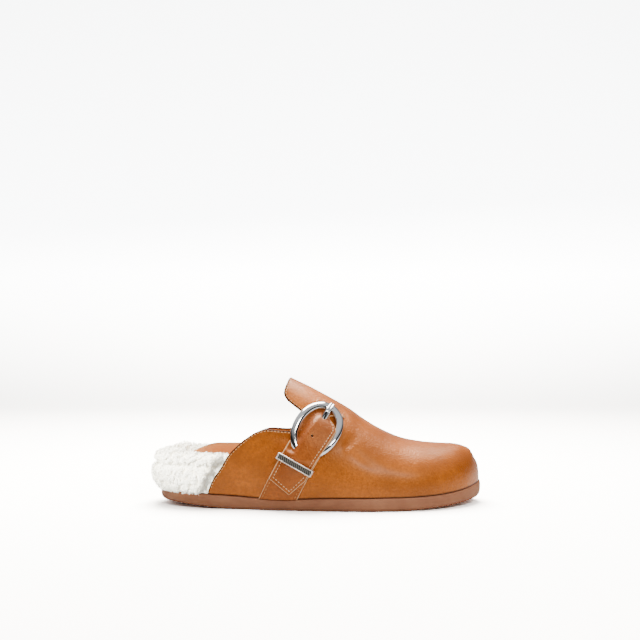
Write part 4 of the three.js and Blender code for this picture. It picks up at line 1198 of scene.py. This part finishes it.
def tail_seam():
    """Runs and places across of the long strap's seam, MARGIN inside its edge: down the heel
    side, round the slanted tip, and up the toe side beside the ring."""
    heel_line = TAIL_WIDTH / 2 - MARGIN
    up_side = np.linspace(RING_CENTRE - 27, RING_CENTRE + 9, 19)
    corners = np.array([
        (RING_CENTRE - 29, -heel_line), (TIP_RUN + HEEL_CORNER + MARGIN, -heel_line),
        (TIP_RUN + MARGIN * 1.15, heel_line * TIP_SIDE * 1.05),
        (TIP_RUN + TOE_CORNER + MARGIN * 0.4, heel_line),
        *zip(up_side, tail_half(up_side, True) - MARGIN)])
    leg = lengths_along(corners)
    at = np.linspace(0, leg[-1], 500)
    return np.interp(at, leg, corners[:, 0]), np.interp(at, leg, corners[:, 1])


def long_strap(leather):
    """A band from its slanted tip to its rounded end under the ring's upper limb, as wide as
    TAIL_SIDES and as high as tail_lift say, with its two holes and its seam."""
    share = edge_spaced(TAIL_WIDTH / 2, 25, 3.6) / (TAIL_WIDTH / 2)
    tip = np.interp(share, [-1, TIP_SIDE, 1], [TIP_RUN + HEEL_CORNER, TIP_RUN, TIP_RUN + TOE_CORNER])
    end = TAIL_END - TAIL_END_ROUND * share ** 2
    t = np.concatenate([np.linspace(0, 0.05, 14), np.linspace(0.05, 1, 170)[1:]])[:, None]
    run = tip[None, :] * (1 - t) + end[None, :] * t
    half = tail_half(run, share[None, :] > 0)
    across = share[None, :] * half
    heel_slope = HEEL_CORNER / ((1 + TIP_SIDE) * TAIL_WIDTH / 2)
    toe_slope = TOE_CORNER / ((1 - TIP_SIDE) * TAIL_WIDTH / 2)
    slope = np.where(share < TIP_SIDE, heel_slope, toe_slope)
    from_tip = (run - tip[None, :]) / np.sqrt(1 + slope ** 2)[None, :]
    edge = np.minimum(half - np.abs(across), from_tip)
    edge = np.minimum(edge, np.maximum(end[None, :] - run, 0))
    piece, _ = strap_piece("long_strap_leather", "long_strap", run, across,
                           tail_lift(run, across), edge, leather)
    punch_holes(piece, leather)
    seam_run, seam_across = tail_seam()
    lift = tail_lift(seam_run, seam_across) + STRAP_THICKNESS - 0.12
    line = on_strap(seam_run, seam_across, lift)
    up = unit(on_strap(seam_run, seam_across, lift + 1) - line)
    stitches("long_strap_stitches", line, up, TAIL_STITCH,
             sewing_thread("strap_thread", STRAP_THREAD))


strap_leather = grain_leather("strap_leather", STRAP_TONES, (0.35, 0.6), 0.34)
base_strap(strap_leather)
long_strap(strap_leather)

# Buckle: an oval half-round ring and a grooved prong, cast and polished in silver colour. The
# prong starts under the long strap, comes up through its hole and rests on the upper limb.

RING_LIMB = 6.2
PRONG_DEPTH = 2.0
PRONG_START = RING_CENTRE - RING_HALF + RING_LIMB + GAP
PRONG_END = RING_CENTRE + RING_HALF - 1.6
PRONG_GROOVE = 0.22
SILVER = "#d8d8da"

# Course of the prong: run up the strap, and lift of its underside.
PRONG_COURSE = table("run lift", [
    (PRONG_START, BASE_TOP + GAP), (BASE_LENGTH + 1.5, BASE_TOP + GAP), (BASE_LENGTH + 6, 3 * GAP),
    (HOLE_RUN - 4.5, 3 * GAP), (HOLE_RUN + 2.5, RING_OVER + GAP - 0.4),
    (PRONG_END - RING_LIMB - 1, RING_OVER + GAP), (PRONG_END, RING_OVER + GAP)])


def polished_silver():
    """Zinc alloy, cast, plated and polished: a bright mirror, with wear in patches of 6 mm that
    only blurs its reflections a little, and the faint waviness of a polished casting."""
    material, tree, shader = new_material("silver")
    where = centred(tree)
    wear = add(tree, "TexNoise", {"Vector": where, "Scale": 1000 / 6, "Detail": 4.0})
    rough = add(tree, "MapRange", {
        "Value": wear, "From Min": 0.35, "From Max": 0.7, "To Min": 0.05, "To Max": 0.12})
    waves = add(tree, "TexNoise", {"Vector": where, "Scale": 1000 / 1.5, "Detail": 3.0})
    bumps = add(tree, "Bump", {"Height": waves, "Distance": 0.01 / 1000, "Strength": 0.5})
    plug(tree, shader, {
        "Base Color": tone(SILVER), "Metallic": 1.0, "Roughness": rough, "Normal": bumps})
    return material


def buckle_ring(silver):
    """An oval carried round RING_CENTRE, with a section that is half round on top and a flat,
    soft-cornered superellipse of power 2.6 underneath."""
    turn = np.linspace(0, 2 * np.pi, 161)
    turn[-1] = 0
    angle = np.linspace(0, 2 * np.pi, 37)[:-1]
    top = np.sin(angle) > 0
    side = np.where(top, np.cos(angle), rounded(angle, 2.6)[0]) * RING_LIMB / 2
    dome = np.where(top, np.sin(angle), -np.abs(np.sin(angle)) ** 0.4 * 0.42)
    up = np.maximum(RING_DEPTH * (0.3 + 0.7 * dome), 0)
    run = RING_CENTRE + np.cos(turn)[:, None] * (RING_HALF - RING_LIMB / 2 + side)[None, :]
    across = np.sin(turn)[:, None] * ((RING_WIDTH - RING_LIMB) / 2 + side)[None, :]
    points = on_strap(run, across, RING_UNDER + up[None, :])
    faces = grid_faces(len(turn), len(angle), around=True)
    piece = add_mesh("buckle_ring_silver", points, faces, silver)
    outward(piece, 0.01)
    dress(piece, "buckle_ring")


def prong(silver):
    """A superellipse of power 3 with a groove on top, carried along PRONG_COURSE, whose corners
    are smoothed by a mean of seven. Both ends are rounded as quarters of a circle."""
    run = np.linspace(PRONG_START, PRONG_END, 90)
    level = np.interp(run, PRONG_COURSE["run"], PRONG_COURSE["lift"])
    level = np.convolve(np.pad(level, 3, mode="edge"), np.ones(7) / 7, mode="valid")
    angle = np.linspace(0, 2 * np.pi, 33)[:-1]
    side, height = rounded(angle, 3.0)
    up = 0.5 + 0.5 * height
    up = up - PRONG_GROOVE * np.exp(-(side / 0.3) ** 2) * (up > 0.5)
    t = np.linspace(0, 1, len(run))
    ends = np.sqrt(np.clip(1 - np.clip((t - 0.965) / 0.035, 0, 1) ** 2, 0.03, 1))
    ends *= np.sqrt(np.clip(1 - np.clip((0.03 - t) / 0.03, 0, 1) ** 2, 0.03, 1))
    across = side[None, :] * (ends * PRONG_WIDTH / 2)[:, None]
    lift = level[:, None] + PRONG_DEPTH * (0.5 + (up - 0.5)[None, :] * ends[:, None])
    points = on_strap(run[:, None], across, lift)
    count = len(angle)
    faces = grid_faces(len(run), count, around=True).tolist()
    faces += [np.arange(count).tolist(), (np.arange(count) + (len(run) - 1) * count).tolist()]
    piece = add_mesh("buckle_prong_silver", points, faces, silver)
    outward(piece)
    dress(piece, "prong")


buckle_silver = polished_silver()
buckle_ring(buckle_silver)
prong(buckle_silver)

# Keeper: a flat bar of silver-coloured metal, cast with a leg at each side and closed over both
# straps, with a dark ribbed inlay set in its face.

KEEPER_WIDTH = 5.4
KEEPER_DEPTH = 1.8
KEEPER_LEG = 1.2
KEEPER_FROM_RING = 4.0
KEEPER_CLEAR = 0.6
KEEPER_CHAMFER = 0.25
INLAY_MARGIN = 0.85
INLAY_DEPTH = 0.9
RIB_PITCH = 1.9
RIB_HALF_HEIGHT = 0.18
RIB_LEAN = 0.8
KEEPER_RUN = RING_CENTRE - RING_HALF - KEEPER_FROM_RING - KEEPER_WIDTH / 2
KEEPER_SPAN = BASE_WIDTH + 2 * (KEEPER_LEG + KEEPER_CLEAR)
KEEPER_LIFT = float(tail_lift(KEEPER_RUN + KEEPER_WIDTH / 2, 0.0)) + STRAP_THICKNESS + 2 * GAP
KEEPER_TOP = KEEPER_LIFT + KEEPER_DEPTH
KEEPER_TONE = "#f3e6de"
INLAY_DARK = "#1f1e1c"
# Painted highlight on the crests of the inlay's ribs.
CREST_HIGHLIGHT = "#77726a"


def satin_silver():
    """Zinc alloy, cast and satin plated: a pale metal with soft, wide highlights."""
    material, tree, shader = new_material("keeper_metal")
    plug(tree, shader, {"Base Color": tone(KEEPER_TONE), "Metallic": 1.0, "Roughness": 0.32})
    return material


def keeper(metal):
    """A plate, two rails and two legs: boxes with chamfered edges, each the hull of its six
    faces drawn in by KEEPER_CHAMFER. Places and sizes are (across, along, lift)."""
    centre, normal, along, to_toe = strap_axes(KEEPER_RUN)
    plate = KEEPER_DEPTH - INLAY_DEPTH
    leg = KEEPER_TOP - 3 * GAP
    blocks = [((0, 0, KEEPER_LIFT + plate / 2), (KEEPER_SPAN - 0.4, KEEPER_WIDTH - 0.3, plate))]
    for side in (-1, 1):
        rail = side * (KEEPER_WIDTH - INLAY_MARGIN) / 2
        end = side * (KEEPER_SPAN - KEEPER_LEG) / 2
        blocks += [
            ((0, rail, KEEPER_LIFT + KEEPER_DEPTH / 2), (KEEPER_SPAN, INLAY_MARGIN, KEEPER_DEPTH)),
            ((end, 0, 3 * GAP + leg / 2), (KEEPER_LEG, KEEPER_WIDTH, leg))]
    signs = 2 * np.array(list(np.ndindex(2, 2, 2))) - 1
    body = bmesh.new()
    for middle, size in blocks:
        reaches = np.array(size) / 2 - KEEPER_CHAMFER * (1 - np.eye(3))
        local = (reaches[:, None] * signs[None]).reshape(-1, 3) + middle
        points = centre + local @ np.array([to_toe, along, normal])
        corners = [body.verts.new(point) for point in to_frame(points)]
        bmesh.ops.convex_hull(body, input=corners)
    mesh = bpy.data.meshes.new("keeper_silver")
    body.to_mesh(mesh)
    body.free()
    mesh.materials.append(metal)
    piece = bpy.data.objects.new("keeper_silver", mesh)
    bpy.context.scene.collection.objects.link(piece)
    mesh.shade_smooth()
    mesh.set_sharp_from_angle(angle=0.9)
    dress(piece, "keeper")


def dark_resin():
    """Dark resin, moulded in slanting ribs: half gloss, with a painted highlight that makes the
    ribs' crests paler. The attribute `edge` is the cosine of the ribs, 1 on a crest."""
    material, tree, shader = new_material("keeper_dark")
    crest = add(tree, "Attribute", {}, "Fac", attribute_name="edge")
    share = add(tree, "MapRange", {"Value": crest, "From Min": 0.2, "From Max": 0.9})
    colour = add(tree, "Mix", {"Factor": share, FIRST: tone(INLAY_DARK), SECOND: tone(CREST_HIGHLIGHT)},
                 MIXED_COLOUR, data_type="RGBA")
    plug(tree, shader, {"Base Color": colour, "Roughness": 0.38})
    return material


def keeper_inlay(resin):
    """A closed slab between the keeper's rails, with ribs of RIB_HALF_HEIGHT * cos(2 pi *
    (across + RIB_LEAN * along) / RIB_PITCH) on its face."""
    clear = INLAY_MARGIN + 0.05
    centre, normal, along, to_toe = strap_axes(KEEPER_RUN)
    u = np.linspace(-1, 1, 240) * (KEEPER_SPAN / 2 - clear)
    v = np.linspace(-1, 1, 17) * (KEEPER_WIDTH / 2 - clear)
    ribs = np.cos(2 * np.pi * (u[:, None] + RIB_LEAN * v[None, :]) / RIB_PITCH)
    base = centre + u[:, None, None] * to_toe + v[None, :, None] * along
    over = base + (KEEPER_TOP - 0.4 + RIB_HALF_HEIGHT * ribs)[..., None] * normal
    under = base + (KEEPER_TOP - INLAY_DEPTH + 0.05) * normal
    points, faces = closed_slab(under, over)
    marks = np.concatenate([np.full_like(ribs, -1), ribs[:, ::-1]], axis=1)
    piece = add_mesh("keeper_inlay_ribbed", points, faces, resin, attributes={"edge": marks})
    outward(piece)
    dress(piece, "keeper_inlay")


keeper(satin_silver())
keeper_inlay(dark_resin())

# Room: a pale paper floor that curves up into a wall, soft lamps, a pale sky and the camera at
# the height of a table's edge. It isn't part of the shoe.

PAPER = "#c4c8ca"
PAPER_AT_FLOOR = 3.9
PAPER_AT_WALL = 20.0
SKY = "#f6f8fa"
WARM = (1.0, 0.94, 0.85)
CREAM = (1.0, 0.99, 0.9)
SHOE_MIDDLE = (140.0, 0.0, 40.0)
SWEEP_START = 900.0
SWEEP_RADIUS = 900.0


def studio_paper():
    """Matt background paper. For the camera's own rays it is brighter than any paper, so that
    it shows as white as a studio's; it lights the shoe as plain grey paper does."""
    material, tree, shader = new_material("room_paper")
    seen = add(tree, "LightPath", {}, "Is Camera Ray")
    up = add(tree, "SeparateXYZ", {"Vector": add(tree, "TexCoord", {}, "Object")}, "Z")
    level = add(tree, "MapRange", {
        "Value": up, "From Max": 0.25, "To Min": PAPER_AT_FLOOR, "To Max": PAPER_AT_WALL})
    bright = add(tree, "CombineXYZ", {"X": level, "Y": level, "Z": level})
    colour = add(tree, "Mix", {"Factor": seen, FIRST: tone(PAPER), SECOND: bright}, MIXED_COLOUR,
                 data_type="RGBA")
    plug(tree, shader, {"Base Color": colour, "Roughness": 1.0, "Specular IOR Level": 0.0})
    return material


def room():
    """A flat floor, a quarter circle and an upright wall, carried straight across."""
    sweep = np.radians(np.linspace(0, 90, 24))[1:]
    y = np.concatenate([[-2600.0, SWEEP_START], SWEEP_START + SWEEP_RADIUS * np.sin(sweep),
                        [SWEEP_START + SWEEP_RADIUS]])
    z = np.concatenate([[0.0, 0.0], SWEEP_RADIUS - SWEEP_RADIUS * np.cos(sweep), [3200.0]])
    points = stack(np.array([-3000.0, 3000.0])[None, :], y[:, None], z[:, None])
    paper = add_mesh("studio_floor", points, grid_faces(len(y), 2), studio_paper())


def lamp(name, place, target, size, watts, colour):
    """A rectangular lamp at a place in millimetres, aimed at another place."""
    data = bpy.data.lights.new(name, "AREA")
    data.shape = "RECTANGLE"
    data.size, data.size_y = size
    data.energy = watts
    data.color = colour
    made = bpy.data.objects.new(name, data)
    bpy.context.scene.collection.objects.link(made)
    where = to_frame(place)[0]
    made.location = where
    made.rotation_euler = Vector(to_frame(target)[0] - where).to_track_quat("-Z", "Y").to_euler()
    return made


def sky():
    """A pale sky that is brighter higher up. Mirrored rays see it dark below and bright above,
    so that leather and silver keep contrast, and the camera's own rays see it plain white."""
    world = bpy.data.worlds.new("studio")
    world.use_nodes = True
    tree = world.node_tree
    background = tree.nodes["Background"]
    height = add(tree, "SeparateXYZ", {"Vector": add(tree, "TexCoord", {}, "Generated")}, "Z")
    lit = add(tree, "MapRange", {
        "Value": height, "From Min": 0.05, "From Max": 0.9, "To Min": 0.02, "To Max": 0.95})
    mirrored = add(tree, "MapRange", {
        "Value": height, "From Min": 0.3, "From Max": 0.75, "To Min": 0.02, "To Max": 0.9})
    in_mirror = add(tree, "LightPath", {}, "Is Glossy Ray")
    in_camera = add(tree, "LightPath", {}, "Is Camera Ray")
    glow = add(tree, "Mix", {"Factor": in_mirror, "A": lit, "B": mirrored})
    glow = add(tree, "Mix", {"Factor": in_camera, "A": glow, "B": 4.0})
    plug(tree, background, {"Color": tone(SKY), "Strength": glow})
    bpy.context.scene.world = world


room()
lamp("lamp_top", (80, 300, 880), SHOE_MIDDLE, (0.7, 0.7), 37, WARM)
lamp("lamp_front", (390, -780, 505), SHOE_MIDDLE, (0.26, 0.1), 3.3, WARM)

# The fleece has a lamp of its own, as the photo's whites are brighter than its leather.
fleece_lamp = lamp("lamp_fleece", (-420, -620, 520), (16, 0, 30), (0.4, 0.4), 75, CREAM)
lit_pieces = bpy.data.collections.new("lit_by_lamp_fleece")
for piece_name in ("heel_fleece_roll", "heel_fleece_locks"):
    lit_pieces.objects.link(bpy.data.objects[piece_name])
fleece_lamp.light_linking.receiver_collection = lit_pieces
sky()

camera_data = bpy.data.cameras.new("camera")
camera_data.lens = 60
camera_data.sensor_width = 36
camera = bpy.data.objects.new("camera", camera_data)
bpy.context.scene.collection.objects.link(camera)
camera.location = to_frame((127.9, -862.0, 147.0))[0]
camera.rotation_euler = (np.pi / 2, 0, 0)
bpy.context.scene.camera = camera
